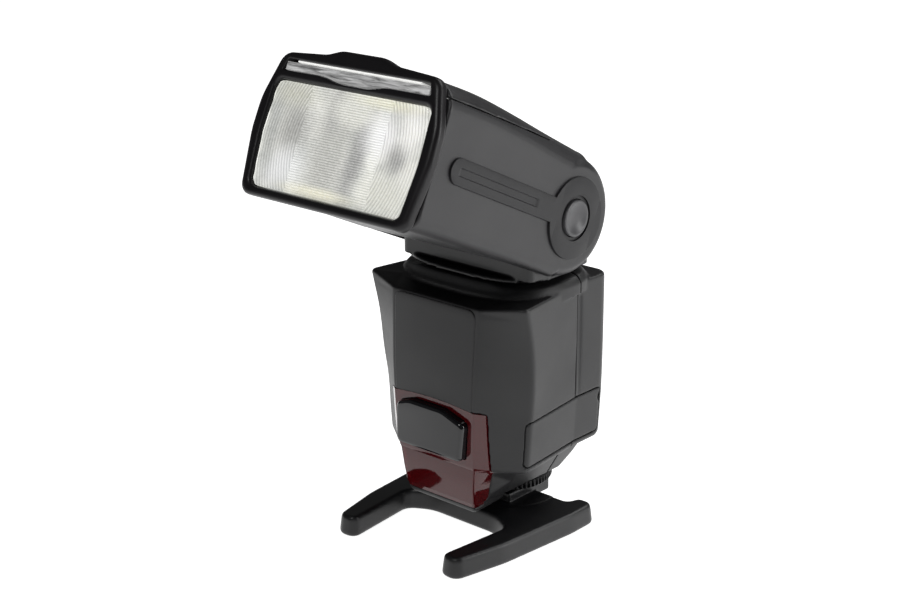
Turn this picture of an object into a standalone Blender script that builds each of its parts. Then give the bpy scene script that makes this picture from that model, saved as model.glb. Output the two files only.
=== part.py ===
"""Speedlight flash on its mini stand, built as separate named pieces.

Units: the numbers below are millimetres and degrees. The body front faces -Y, the battery door is
on +X, the swivel axis is the world Z axis and the stand rests on z = 0.
Head pieces are drawn in head space: x across, y = minus the distance in front of the tilt axis,
z above the tilt axis. They are turned to the rest tilt when they are finished.
"""
import math

import bmesh
import bpy
from mathutils import Matrix, Vector

MM = 0.001
GAP = 0.3                  # clearance between pieces that touch in the real object
WELD = 0.000001            # metres, merge distance after a cut

# Driving dimensions
PIVOT_Z = 115.5            # tilt axis above the stand's underside
TILT = 25.0                # rest tilt of the head above level
WALL = 2.0                 # shell thickness
SEAM_Y = 8.0               # parting plane between the front and rear shells
REAR_Y = 26.5              # rear face of the body
PANEL_TOP_Z = 88.0         # top edge of the centre panel
RIM_Z = 90.0               # top edge of the sides
COLLAR_Z = 94.2            # top of the body's collar
FOOT_Y = 6.4               # centre of the foot and its locking ring
FACE_F = 82.2              # front of the head's bezel, measured from the tilt axis
NECK_HALF = 30.0           # half width of the neck between the head's cheeks
BARREL_R = 17.0            # radius of the neck's barrel around the tilt axis
CHEEK_R = 20.0             # radius of the head's cheeks around the tilt axis

# height, panel half width, panel y, side x, side front y, side x at the seam
BODY_LEVELS = (
    (30.3, 17.0, -31.1, 31.7, -20.0, 28.6),
    (36.0, 17.4, -31.6, 32.2, -20.0, 29.0),
    (50.0, 18.1, -32.2, 33.3, -19.9, 29.8),
    (60.0, 18.6, -32.1, 34.2, -20.2, 30.0),
    (75.0, 19.0, -31.5, 34.5, -21.3, 30.1),
)
BODY_TOP = (89.0, 19.3, -30.8, 34.6, -24.6, 30.1)

materials = {}


def material(name, color, metallic=0.0, roughness=0.5, transmission=0.0):
    """Return the Principled material with this name."""
    if name not in materials:
        made = bpy.data.materials.new(name)
        made.use_nodes = True
        shader = made.node_tree.nodes["Principled BSDF"]
        shader.inputs["Base Color"].default_value = (*color, 1.0)
        shader.inputs["Metallic"].default_value = metallic
        shader.inputs["Roughness"].default_value = roughness
        shader.inputs["Transmission Weight"].default_value = transmission
        materials[name] = made
    return materials[name]


def body_plastic():
    """Return the matte black plastic of the body."""
    return material("body_plastic", (0.022, 0.022, 0.024), roughness=0.6)


def head_plastic():
    """Return the charcoal plastic of the head."""
    return material("head_plastic", (0.03, 0.03, 0.033), roughness=0.5)


def satin_black():
    """Return the satin black plastic of the bezel, stand and trim."""
    return material("satin_black_plastic", (0.012, 0.012, 0.013), roughness=0.35)


def bright_metal():
    """Return bright nickel plated metal."""
    return material("nickel_plate", (0.72, 0.71, 0.69), metallic=1.0, roughness=0.25)


def steel():
    """Return plain drawn steel."""
    return material("steel", (0.5, 0.5, 0.5), metallic=1.0, roughness=0.35)


# ---------------------------------------------------------------- mesh helpers

def mesh_object(name, points, faces):
    """Make an object from millimetre points, with its faces turned outwards."""
    mesh = bpy.data.meshes.new(name)
    mesh.from_pydata([[value * MM for value in point] for point in points], [], faces)
    shape = bmesh.new()
    shape.from_mesh(mesh)
    bmesh.ops.recalc_face_normals(shape, faces=shape.faces)
    shape.to_mesh(mesh)
    shape.free()
    made = bpy.data.objects.new(name, mesh)
    bpy.context.scene.collection.objects.link(made)
    return made


def loft(name, sections):
    """Join closed outlines with the same point count into one solid."""
    count = len(sections[0])
    points = [point for section in sections for point in section]
    faces = [tuple(range(count))]
    for level in range(len(sections) - 1):
        low = level * count
        high = low + count
        for index in range(count):
            after = (index + 1) % count
            faces.append((low + index, low + after, high + after, high + index))
    faces.append(tuple(range(len(points) - count, len(points))))
    return mesh_object(name, points, faces)


def box(name, low, high):
    """Make a block between two corners."""
    corners = ((low[0], low[1]), (high[0], low[1]), (high[0], high[1]), (low[0], high[1]))
    return loft(name, [[(x, y, z) for x, y in corners] for z in (low[2], high[2])])


def prism(name, outline, low, high, axis="Z"):
    """Extrude an outline from one plane to another along an axis."""
    placers = {
        "X": lambda a, b, c: (c, a, b),
        "Y": lambda a, b, c: (a, c, b),
        "Z": lambda a, b, c: (a, b, c),
    }
    place = placers[axis]
    return loft(name, [[place(a, b, depth) for a, b in outline] for depth in (low, high)])


def circle(radius, count, centre=(0.0, 0.0)):
    """Return the points of a circle."""
    turns = [math.tau * index / count for index in range(count)]
    return [(centre[0] + radius * math.cos(t), centre[1] + radius * math.sin(t)) for t in turns]


def cylinder(name, radius, low, high, centre=(0.0, 0.0), axis="Z", count=32):
    """Make a round rod."""
    return prism(name, circle(radius, count, centre), low, high, axis)


def superellipse(half_x, half_y, power, count):
    """Return a rounded outline that is squarer than an ellipse."""
    points = []
    for index in range(count):
        angle = math.tau * index / count
        side = math.copysign(abs(math.cos(angle)) ** (2 / power), math.cos(angle))
        front = math.copysign(abs(math.sin(angle)) ** (2 / power), math.sin(angle))
        points.append((half_x * side, half_y * front))
    return points


def rounded(corners, steps=3):
    """Return the outline of a polygon of (x, y, radius) corners with each corner rounded."""
    outline = []
    for index, (x, y, radius) in enumerate(corners):
        here = Vector((x, y))
        before = (Vector(corners[index - 1][:2]) - here).normalized()
        after = (Vector(corners[(index + 1) % len(corners)][:2]) - here).normalized()
        half = before.angle(after) / 2
        middle = here + (before + after).normalized() * radius / math.sin(half)
        start = here + before * radius / math.tan(half) - middle
        end = here + after * radius / math.tan(half) - middle
        for step in range(steps + 1):
            blend = start.lerp(end, step / steps).normalized() * radius
            outline.append(tuple(middle + blend))
    return outline


def rounded_box(half_x, low_y, high_y, radius, steps=3):
    """Return a rectangle outline, symmetric in x, with rounded corners."""
    return rounded([(-half_x, low_y, radius), (half_x, low_y, radius),
                    (half_x, high_y, radius), (-half_x, high_y, radius)], steps)


def mirrored(right_corners):
    """Return the corners of a symmetric outline from its right half, front to back."""
    return right_corners + [(-x, y, radius) for x, y, radius in reversed(right_corners)]


def combine(base, tool, operation):
    """Apply a Boolean with the tool piece and remove the tool."""
    modifier = base.modifiers.new(operation.lower(), "BOOLEAN")
    modifier.operation = operation
    modifier.solver = "EXACT"
    modifier.object = tool
    bpy.context.view_layer.objects.active = base
    bpy.ops.object.modifier_apply(modifier=modifier.name)
    bpy.data.objects.remove(tool)
    shape = bmesh.new()
    shape.from_mesh(base.data)
    bmesh.ops.remove_doubles(shape, verts=shape.verts, dist=WELD)
    bmesh.ops.triangulate(shape, faces=shape.faces)
    shape.to_mesh(base.data)
    shape.free()
    return base


def cut(base, *tools):
    """Subtract each tool from the base."""
    for tool in tools:
        combine(base, tool, "DIFFERENCE")
    return base


def fuse(base, *tools):
    """Add each tool to the base."""
    for tool in tools:
        combine(base, tool, "UNION")
    return base


def duplicate(source, name):
    """Copy a piece."""
    made = bpy.data.objects.new(name, source.data.copy())
    bpy.context.scene.collection.objects.link(made)
    return made


def finish(piece, look, origin=(0.0, 0.0, 0.0)):
    """Give a piece its material and put its origin on the given point."""
    piece.data.materials.clear()
    piece.data.materials.append(look)
    place = Vector(origin) * MM
    piece.data.transform(Matrix.Translation(-place))
    piece.location = place
    return piece


def finish_head(piece, look, head_origin=(0.0, 0.0, 0.0)):
    """Turn a head piece to the rest tilt, lift it to the tilt axis and finish it."""
    turn = Matrix.Rotation(math.radians(-TILT), 4, "X")
    lift = Matrix.Translation((0.0, 0.0, PIVOT_Z * MM))
    piece.data.transform(lift @ turn)
    origin = turn @ Vector(head_origin) + Vector((0.0, 0.0, PIVOT_Z))
    return finish(piece, look, origin)


# ---------------------------------------------------------------- body

def body_section(level, inset, z_of=None):
    """Return one plan section of the body, drawn in by the inset."""
    z, panel_x, panel_y, side_x, side_y, seam_x = level
    corners = mirrored([
        (panel_x - 0.4 * inset, panel_y + inset, 1.0),
        (side_x - inset, side_y + 0.6 * inset, 1.6),
        (seam_x - inset, SEAM_Y + 1.0, 3.0),
        (seam_x - inset, REAR_Y - inset, 5.0),
    ])
    outline = rounded(corners)
    if z_of is None:
        return [(x, y, z) for x, y in outline]
    return [(x, y, z_of(x, y)) for x, y in outline]


def rim_height(x, y):
    """Return the height of the body's top edge, which dips over the centre panel."""
    across = min(1.0, max(0.0, (abs(x) - 18.0) / 14.0))
    along = min(1.0, max(0.0, (y + 30.0) / 9.0))
    return PANEL_TOP_Z + (RIM_Z - PANEL_TOP_Z) * max(across, along)


def body_upper(name, inset):
    """Loft the wide part of the body, from its lower edge to its top."""
    lowest = (BODY_LEVELS[0][0] - 1.7 + inset, *BODY_LEVELS[0][1:])
    sections = [body_section(lowest, inset + 1.6)]
    levels = BODY_LEVELS if inset == 0 else BODY_LEVELS[1:]
    sections += [body_section(level, inset) for level in levels]
    sections.append(body_section(BODY_TOP, inset, lambda x, y: rim_height(x, y) - 1.0 - inset))
    sections.append(body_section(BODY_TOP, inset + 0.9, lambda x, y: rim_height(x, y) - inset))
    if inset == 0:
        sections.append(body_section((RIM_Z - 0.6, *BODY_TOP[1:]), 9.0))
    else:
        sections.append(body_section((PANEL_TOP_Z - inset, *BODY_TOP[1:]), 9.0))
    return loft(name, sections)


def pedestal(name, inset):
    """Loft the narrow lower part of the body that carries the foot."""
    levels = (
        (16.2 + inset, 15.9, -29.3, 17.6, -14.0, 18.0),
        (22.0, 16.3, -30.2, 21.0, -15.0, 21.0),
        (29.7, 16.9, -30.9, 25.4, -16.0, 23.0),
        (32.5 + inset, 16.2, -29.8, 24.4, -16.0, 22.4),
    )
    sections = []
    for z, panel_x, panel_y, side_x, side_y, back_y in levels:
        corners = mirrored([
            (panel_x - 0.4 * inset, panel_y + inset, 1.0),
            (side_x - inset, side_y + inset, 2.5),
            (side_x - inset, back_y - inset, 4.0),
        ])
        sections.append([(x, y, z) for x, y in rounded(corners)])
    return loft(name, sections)


def chin(name, inset):
    """Loft the chin that hangs in front of the foot."""
    levels = (
        (12.2 + inset, 14.6, -27.6, 14.0),
        (13.2 + inset, 15.3, -28.3, 14.8),
        (16.3 + inset, 15.8, -29.2, 16.0),
        (20.0 + inset, 15.2, -28.2, 15.4),
    )
    sections = []
    for z, panel_x, panel_y, back_x in levels:
        corners = mirrored([
            (panel_x - 0.4 * inset, panel_y + inset, 1.0),
            (back_x - 0.4 * inset, -12.2 - inset, 1.2),
        ])
        sections.append([(x, y, z) for x, y in rounded(corners)])
    return loft(name, sections)


def collar(name):
    """Loft the collar around the swivel, its corners lower than its middle."""
    count = 48
    outer_foot = superellipse(32.0, 24.0, 3.0, count)
    outer_top = superellipse(31.0, 22.3, 3.0, count)
    inner_top = superellipse(24.0, 20.0, 2.4, count)
    drop = [1.5 * min(1.0, max(0.0, (math.hypot(x, y) - 27.0) / 3.0)) for x, y in outer_top]
    return loft(name, [
        [(x, y, PANEL_TOP_Z - 1.5) for x, y in outer_foot],
        [(x, y, RIM_Z + 0.6) for x, y in outer_foot],
        [(x, y, COLLAR_Z - 0.5 - d) for (x, y), d in zip(outer_top, drop)],
        [(0.98 * x, 0.98 * y, COLLAR_Z - d) for (x, y), d in zip(outer_top, drop)],
        [(x, y, COLLAR_Z) for x, y in inner_top],
    ])


def body_solid(name, inset):
    """Return the whole body as one solid, drawn in by the inset."""
    solid = fuse(body_upper(name, inset), pedestal("pedestal", inset), chin("chin", inset))
    if inset == 0:
        fuse(solid, collar("collar"))
    return solid


WINDOW_TOP_Z = 50.8
WINDOW_BOTTOM_Z = 14.6
WINDOW_HALF = 21.4
DOOR_Y = (-20.6, 22.6)
DOOR_Z = (31.3, 47.9)
DOOR_TOP_GAP = 0.9         # room for the door's top edge to swing out
DOOR_HINGE = (31.0, 0.0, 32.1)
DISPLAY_HALF = 19.0
DISPLAY_Z = (62.5, 83.0)


def window_block(name, grow):
    """Return the block that bounds the red window."""
    half = WINDOW_HALF + grow
    outline = [(-half, WINDOW_BOTTOM_Z - grow), (half, WINDOW_BOTTOM_Z - grow)]
    steps = 8
    for index in range(steps + 1):
        x = half * (1 - 2 * index / steps)
        outline.append((x, WINDOW_TOP_Z + grow + 1.6 * (1 - (x / half) ** 2)))
    return prism(name, outline, -40.0, -24.0 + grow, "Y")


def assist_outline(grow):
    """Return the outline of the black focus assist window."""
    return rounded([(-15.2 - grow, 33.2 - grow, 1.5), (14.0 + grow, 33.2 - grow, 1.5),
                    (15.6 + grow, 47.0 + grow, 2.5), (6.0, 50.2 + grow, 8.0),
                    (-9.0, 50.2 + grow, 8.0), (-15.2 - grow, 48.0 + grow, 2.5)])


def door_block(name, grow, top_grow):
    """Return the block that bounds the battery door."""
    outline = rounded([(DOOR_Y[0] - grow, DOOR_Z[0] - grow, 1.5),
                       (DOOR_Y[1] + grow, DOOR_Z[0] - grow, 1.5),
                       (DOOR_Y[1] + grow, DOOR_Z[1] + top_grow, 2.0),
                       (DOOR_Y[0] - grow, DOOR_Z[1] + top_grow, 1.5)])
    return prism(name, outline, 22.0 - grow, 40.0, "X")


BUTTONS = {
    "button_light": (-17.0, 56.8, 3.6, 2.2),
    "button_zoom": (-5.7, 56.8, 3.6, 2.2),
    "button_mode": (5.7, 56.8, 3.6, 2.2),
    "button_wireless": (17.0, 56.8, 3.6, 2.2),
    "button_up": (0.0, 50.6, 3.4, 1.7),
    "button_down": (0.0, 37.0, 3.4, 1.7),
    "button_left": (-7.0, 43.8, 1.8, 3.2),
    "button_right": (7.0, 43.8, 1.8, 3.2),
    "button_ok": (0.0, 43.8, 3.0, 3.0),
    "button_pilot": (-17.0, 43.0, 3.8, 3.8),
    "button_power": (17.0, 43.0, 3.8, 3.8),
}


def button_outline(x, z, half_x, half_z, grow):
    """Return the outline of one rear button."""
    radius = min(half_x, half_z) * 0.7
    return rounded([(x - half_x - grow, z - half_z - grow, radius),
                    (x + half_x + grow, z - half_z - grow, radius),
                    (x + half_x + grow, z + half_z + grow, radius),
                    (x - half_x - grow, z + half_z + grow, radius)], 2)


PORT_Y = (-8.0, 4.0)
PORT_Z = (60.0, 80.0)
PORT_HINGE = (-32.8, -8.0, 70.0)


def port_outline(grow):
    """Return the outline of the socket cover on the left side."""
    low_y, high_y = PORT_Y[0] - grow, PORT_Y[1] + grow
    low_z, high_z = PORT_Z[0] - grow, PORT_Z[1] + grow
    return rounded([(low_y, low_z, 1.5), (high_y, low_z, 1.5), (high_y, high_z, 1.5),
                    (low_y, high_z, 1.5)])


def build_body():
    """Build the two shells and the pieces cut out of their skin."""
    outer = body_solid("outer", 0.0)
    inner = body_solid("inner", WALL)

    skin = duplicate(outer, "skin")
    cut(skin, duplicate(inner, "hollow"))
    window = duplicate(skin, "red_sensor_window")
    combine(window, window_block("window_limit", 0.0), "INTERSECT")
    cut(window, prism("assist_hole", assist_outline(GAP), -40.0, -20.0, "Y"))
    finish(window, material("red_window", (0.18, 0.004, 0.006), roughness=0.08, transmission=0.4))

    door = duplicate(skin, "battery_door")
    combine(door, door_block("door_limit", 0.0, 0.0), "INTERSECT")
    finish(door, body_plastic(), DOOR_HINGE)

    cover = duplicate(skin, "port_cover")
    combine(cover, prism("cover_limit", port_outline(0.0), -40.0, -24.0, "X"), "INTERSECT")
    finish(cover, material("cover_rubber", (0.02, 0.02, 0.021), roughness=0.7), PORT_HINGE)

    cut(skin, window_block("window_hole", GAP), door_block("door_hole", GAP, DOOR_TOP_GAP),
        cylinder("swivel_hole", 18.3, 70.0, 110.0, count=48),
        cylinder("foot_hole", 7.3, 10.0, 25.0, (0.0, FOOT_Y)),
        prism("display_hole", rounded_box(DISPLAY_HALF, *DISPLAY_Z, 1.5), 20.0, 30.0, "Y"),
        prism("port_hole", port_outline(GAP), -40.0, -20.0, "X"))
    for values in BUTTONS.values():
        cut(skin, prism("button_hole", button_outline(*values, GAP), 20.0, 30.0, "Y"))

    rear = duplicate(skin, "rear_shell")
    cut(rear, box("front_half", (-50.0, -60.0, 0.0), (50.0, SEAM_Y + GAP, 120.0)))
    finish(rear, body_plastic())
    front = duplicate(skin, "front_shell")
    cut(front, box("rear_half", (-50.0, SEAM_Y, 0.0), (50.0, 60.0, 120.0)))
    finish(front, body_plastic())
    for helper in (outer, inner, skin):
        bpy.data.objects.remove(helper)


def build_front_trim():
    """Build the black focus assist window that stands proud of the red one."""
    steps = ((-28.0, 0.0), (-34.2, 0.0), (-35.2, -1.0))
    sections = [[(x, y, z) for x, z in assist_outline(grow)] for y, grow in steps]
    finish(loft("focus_assist_window", sections),
           material("gloss_black", (0.006, 0.006, 0.008), roughness=0.06))


def build_battery_bay():
    """Build the battery tray and its contacts."""
    tray = box("battery_holder", (-24.2, -19.6, 31.2), (24.2, 19.6, 48.6))
    cut(tray, box("tray_room", (-22.9, -18.4, 32.4), (30.0, 18.4, 47.4)))
    finish(tray, material("tray_plastic", (0.02, 0.02, 0.022), roughness=0.7))
    plate = box("battery_contact_plate", (-22.6, -17.8, 32.8), (-22.0, 17.8, 47.0))
    for y in (-12.0, 0.0, 12.0):
        fuse(plate, cylinder("contact_boss", 3.2, -22.2, -20.7, (y, 39.9), "X", 16))
    finish(plate, bright_metal())


def build_electronics():
    """Build the boards and the large components inside the body."""
    finish(box("main_circuit_board", (-24.0, 14.0, 51.5), (24.0, 15.6, 80.0)),
           material("circuit_board", (0.01, 0.09, 0.03), roughness=0.45))
    capacitor = cylinder("main_capacitor", 11.0, -22.0, 22.0, (-12.5, 63.0), "X", 28)
    finish(capacitor, material("capacitor_sleeve", (0.015, 0.015, 0.02), roughness=0.3))
    finish(box("charging_transformer", (-22.0, 1.0, 56.0), (-8.0, 12.0, 70.0)),
           material("transformer_tape", (0.55, 0.38, 0.08), roughness=0.5))


def build_rear_controls():
    """Build the display and the buttons on the rear face."""
    window = prism("display_window",
                   rounded_box(DISPLAY_HALF - GAP, DISPLAY_Z[0] + GAP, DISPLAY_Z[1] - GAP, 1.2),
                   REAR_Y - 1.4, REAR_Y - 0.3, "Y")
    finish(window, material("clear_window", (0.8, 0.82, 0.8), roughness=0.05, transmission=0.9))
    finish(box("display_module", (-17.5, 21.3, 63.5), (17.5, 24.6, 79.8)),
           material("display_glass", (0.28, 0.33, 0.22), roughness=0.3))
    for name, values in BUTTONS.items():
        steps = ((-3.4, 0.9), (-2.6, 0.9), (-2.6, 0.0), (0.4, 0.0), (0.7, -0.4))
        cap = loft(name, [[(x, REAR_Y + out, z) for x, z in button_outline(*values, grow)]
                          for out, grow in steps])
        finish(cap, material("button_rubber", (0.035, 0.035, 0.038), roughness=0.55),
               (values[0], REAR_Y, values[1]))


def build_side_ports():
    """Build the two sockets behind the cover on the left side."""
    for name, z, radius in (("sync_socket", 74.5, 3.0), ("power_socket", 66.0, 3.6)):
        socket = cylinder(name, radius, -28.4, -23.0, (-2.0, z), "X", 20)
        cut(socket, cylinder("bore", radius - 1.0, -33.0, -25.0, (-2.0, z), "X", 16))
        finish(socket, bright_metal())


# ---------------------------------------------------------------- foot and stand

RING_R = 16.7
RING_Z = (11.6, 15.6)
PLATE_HALF = 9.3
PLATE_Z = (8.2, 10.2)


def knurled(radius, depth, teeth):
    """Return the outline of a knurled wheel."""
    outline = []
    for index in range(teeth * 2):
        angle = math.tau * (index + 0.5) / (teeth * 2)
        reach = radius if index % 2 else radius - depth
        outline.append((reach * math.cos(angle), FOOT_Y + reach * math.sin(angle)))
    return outline


def build_foot():
    """Build the metal foot, its locking ring, pin, centre contact and screws."""
    foot = box("mounting_foot", (-PLATE_HALF, FOOT_Y - 9.0, PLATE_Z[0]),
               (PLATE_HALF, FOOT_Y + 9.0, PLATE_Z[1]))
    fuse(foot, cylinder("stem", 6.0, 9.0, 17.0, (0.0, FOOT_Y), count=24),
         cylinder("sleeve", 7.0, 14.5, 19.5, (0.0, FOOT_Y), count=24),
         cylinder("flange", 9.6, 18.6, 20.4, (0.0, FOOT_Y), count=24))
    cut(foot, cylinder("contact_bore", 1.6, 7.0, 9.6, (0.0, FOOT_Y), count=12),
        cylinder("pin_bore", 1.5, 7.0, 9.6, (0.0, FOOT_Y - 6.0), count=12))
    screws = [(x, FOOT_Y + y) for x in (-6.6, 6.6) for y in (-6.6, 6.6)]
    for x, y in screws:
        cut(foot, cylinder("screw_bore", 1.5, 7.0, 9.6, (x, y), count=12))
    finish(foot, bright_metal())
    for number, centre in enumerate(screws, 1):
        finish(cylinder(f"foot_screw_{number}", 1.2, 8.3, 9.3, centre, count=12), steel())
    finish(cylinder("centre_contact", 1.2, 8.2, 9.3, (0.0, FOOT_Y), count=12),
           material("gold_contact", (0.8, 0.58, 0.2), metallic=1.0, roughness=0.25))
    finish(cylinder("locking_pin", 1.1, 8.3, 9.3, (0.0, FOOT_Y - 6.0), count=12), steel())

    ring = prism("locking_ring", knurled(RING_R, 0.5, 52), *RING_Z)
    cut(ring, cylinder("ring_bore", 6.4, 11.0, 14.2, (0.0, FOOT_Y), count=24),
        cylinder("sleeve_bore", 7.4, 13.9, 16.0, (0.0, FOOT_Y), count=24))
    finish(ring, satin_black(), (0.0, FOOT_Y, RING_Z[0]))


STAND_Z = 7.7
SHOE_FLOOR_Z = 7.9
SHOE_TOP_Z = 11.3
STAND_RIGHT = [
    (15.0, -17.6, 14.0), (22.6, -22.0, 4.0), (19.6, -52.0, 3.4), (28.0, -53.0, 4.2),
    (32.6, -32.0, 40.0), (35.6, 1.0, 40.0), (35.4, 14.6, 4.0), (27.6, 14.2, 3.0), (26.0, 9.4, 1.5),
]
INSERT_Y = -8.5


def stand_section(z, inset):
    """Return the stand's plan outline at a height, drawn in by the inset."""
    corners = []
    for index, (x, y, radius) in enumerate(STAND_RIGHT):
        before = Vector(STAND_RIGHT[index - 1][:2]) if index else Vector((-x, y))
        last = index == len(STAND_RIGHT) - 1
        after = Vector((-x, y)) if last else Vector(STAND_RIGHT[index + 1][:2])
        here = Vector((x, y))
        into = (here - before).normalized()
        away = (after - here).normalized()
        normal = Vector((-into.y - away.y, into.x + away.x))
        shift = normal / normal.length_squared * 2 * inset
        turn = into.x * away.y - into.y * away.x
        eased = max(0.4, radius - math.copysign(inset, turn))
        corners.append((x + shift.x, y + shift.y, eased))
    return [(x, y, z) for x, y in rounded(mirrored(corners), 3)]


def build_stand():
    """Build the mini stand with its shoe and the tripod thread in its underside."""
    stand = loft("mini_stand", [
        stand_section(0.0, 1.4), stand_section(1.4, 0.0), stand_section(6.2, 0.6),
        stand_section(STAND_Z - 0.4, 1.0), stand_section(STAND_Z, 1.7),
    ])
    shoe = box("shoe", (-12.5, FOOT_Y - 13.0, STAND_Z - 2.0), (12.5, FOOT_Y + 9.6, SHOE_TOP_Z))
    cut(shoe, box("shoe_slot", (-PLATE_HALF - GAP, FOOT_Y - 9.4, SHOE_FLOOR_Z),
                  (PLATE_HALF + GAP, 40.0, PLATE_Z[1] + GAP)),
        box("shoe_throat", (-6.5, FOOT_Y - 6.6, 9.0), (6.5, 40.0, 12.0)))
    fuse(stand, shoe)
    cut(stand, cylinder("insert_bore", 5.0 + GAP, -1.0, 6.0, (0.0, INSERT_Y), count=24))
    finish(stand, satin_black(), (0.0, FOOT_Y, STAND_Z))
    insert = cylinder("tripod_insert", 5.0, 0.4, 5.7, (0.0, INSERT_Y), count=24)
    cut(insert, cylinder("thread", 3.2, -1.0, 7.0, (0.0, INSERT_Y), count=16))
    finish(insert, material("brass", (0.75, 0.55, 0.25), metallic=1.0, roughness=0.35),
           (0.0, FOOT_Y, STAND_Z))


# ---------------------------------------------------------------- neck

def build_neck():
    """Build the neck that swivels on the body and carries the head's tilt axis."""
    spigot = cylinder("neck", 18.0, 82.3, 96.0, count=48)
    flange_foot = superellipse(29.6, 20.9, 3.0, 48)
    flange = loft("flange", [
        [(x, y, COLLAR_Z + GAP) for x, y in flange_foot],
        [(0.985 * x, 0.985 * y, COLLAR_Z + 1.8) for x, y in flange_foot],
    ])
    stem = box("stem", (-29.0, -16.5, COLLAR_Z + 1.0), (29.0, 16.5, PIVOT_Z))
    barrel = cylinder("barrel", BARREL_R, -NECK_HALF, NECK_HALF, (0.0, PIVOT_Z), "X", 48)
    fuse(spigot, flange, stem, barrel)
    fuse(spigot, cylinder("boss", 9.0, -31.8, 31.8, (0.0, PIVOT_Z), "X", 28))
    cut(spigot, cylinder("cable_room", 7.0, 70.0, PIVOT_Z - 4.0, count=24))
    finish(spigot, satin_black(), (0.0, 0.0, COLLAR_Z))
    plate = cylinder("turntable_plate", 21.0, 80.2, 82.0, count=48)
    cut(plate, cylinder("cable_hole", 7.0, 70.0, 90.0, count=24))
    finish(plate, steel(), (0.0, 0.0, COLLAR_Z))


# ---------------------------------------------------------------- head

# distance in front of the tilt axis, half width, underside, top
HEAD_LEVELS = (
    (0.0, 34.3, -21.2, 23.3),
    (20.0, 34.7, -21.2, 24.4),
    (40.0, 35.6, -21.2, 25.6),
    (60.0, 36.6, -21.2, 26.2),
    (77.9, 37.4, -21.6, 25.4),
)
PARTING_U = 20.1
CAVITY_F = 30.0


def head_section(front, half, low, high, inset):
    """Return one cross section of the head."""
    outline = rounded([(half - inset, low + inset, 5.0), (half - inset, high - inset - 2.0, 9.0),
                       (0.45 * half, high - inset, 20.0), (-0.45 * half, high - inset, 20.0),
                       (-half + inset, high - inset - 2.0, 9.0), (-half + inset, low + inset, 5.0)])
    return [(x, -front, u) for x, u in outline]


def side_x(front):
    """Return the half width of the head at a distance in front of the tilt axis."""
    for near, far in zip(HEAD_LEVELS, HEAD_LEVELS[1:]):
        if front <= far[0]:
            blend = max(0.0, (front - near[0]) / (far[0] - near[0]))
            return near[1] + blend * (far[1] - near[1])
    return HEAD_LEVELS[-1][1]


def head_solid():
    """Return the head as one solid with its round cheeks, before it is hollowed."""
    levels = [(-2.3, *HEAD_LEVELS[0][1:]), *HEAD_LEVELS]
    solid = loft("head", [head_section(*level, 0.0) for level in levels])
    cut(solid, box("rear_corner", (-50.0, 0.0, -40.0), (50.0, 10.0, 0.0)))
    cheek = loft("cheeks", [[(x, a, b) for a, b in circle(radius, 48)]
                            for x, radius in ((-34.3, 17.6), (-32.6, 19.6), (-31.0, CHEEK_R),
                                              (31.0, CHEEK_R), (32.6, 19.6), (34.3, 17.6))])
    return fuse(solid, cheek)


def slot_outline(half, low, high):
    """Return the outline of a slot in the bezel's face."""
    return rounded_box(half, low, high, 0.4, 1)


CARD_HALF = 26.6
CARD_U = (21.2, 22.0)
PANEL_HALF = 30.2
PANEL_U = (19.0, 20.4)
SLOT_GAP = 0.35


def neck_room_outline():
    """Return the side profile of the room the neck sweeps inside the head."""
    radius = BARREL_R + 0.4
    arc = [math.pi - math.pi / 2 * step / 12 for step in range(13)]
    return [(-27.0, -30.0), (-27.0, -15.4), (-19.8, -15.4), (-19.8, 0.0),
            *[(radius * math.cos(turn), radius * math.sin(turn)) for turn in arc],
            (30.0, radius), (30.0, -30.0)]


def build_head_shells():
    """Build the lower and upper shells of the head."""
    solid = head_solid()
    inner = [head_section(*level, WALL) for level in HEAD_LEVELS[2:]]
    start = [(x, -CAVITY_F, u) for x, _, u in inner[0]]
    room = loft("room", [start, *inner[1:], [(x, -90.0, u) for x, _, u in inner[-1]]])
    reach = NECK_HALF + GAP
    cut(solid, room, prism("neck_room", neck_room_outline(), -reach, reach, "X"),
        cylinder("boss_room", 9.0 + GAP, -32.1, 32.1, axis="X", count=28),
        cylinder("button_hole", 6.2 + GAP, 30.0, 40.0, axis="X", count=28),
        box("panel_slot", (-PANEL_HALF - 1.0, -90.0, PANEL_U[0] - 0.5),
            (PANEL_HALF + 1.0, -24.0, PANEL_U[1] + SLOT_GAP)))
    lower = duplicate(solid, "head_lower_shell")
    cut(lower, box("above", (-50.0, -100.0, PARTING_U - 0.15), (50.0, 30.0, 60.0)))
    finish_head(lower, head_plastic())
    upper = duplicate(solid, "head_upper_shell")
    cut(upper, box("below", (-50.0, -100.0, -60.0), (50.0, 30.0, PARTING_U + 0.15)))
    finish_head(upper, head_plastic())
    bpy.data.objects.remove(solid)


BEZEL_RIGHT = [
    (36.0, -22.8, 4.0), (38.9, -2.0, 30.0), (38.6, 9.0, 25.0), (33.6, 24.4, 5.0),
    (15.0, 25.7, 12.0), (9.0, 27.6, 10.0),
]
LENS_RIGHT = [(32.5, -19.7, 3.0), (34.2, -2.0, 50.0), (33.5, 15.6, 3.0)]
FLANGE_RIGHT = [(33.2, -19.2, 3.0), (34.8, -2.0, 50.0), (34.2, 16.3, 3.0)]


def lens_outline(grow):
    """Return the outline of the lens opening."""
    return rounded(mirrored([(x + grow, u + grow * math.copysign(1.0, u), radius)
                             for x, u, radius in LENS_RIGHT]))


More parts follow.
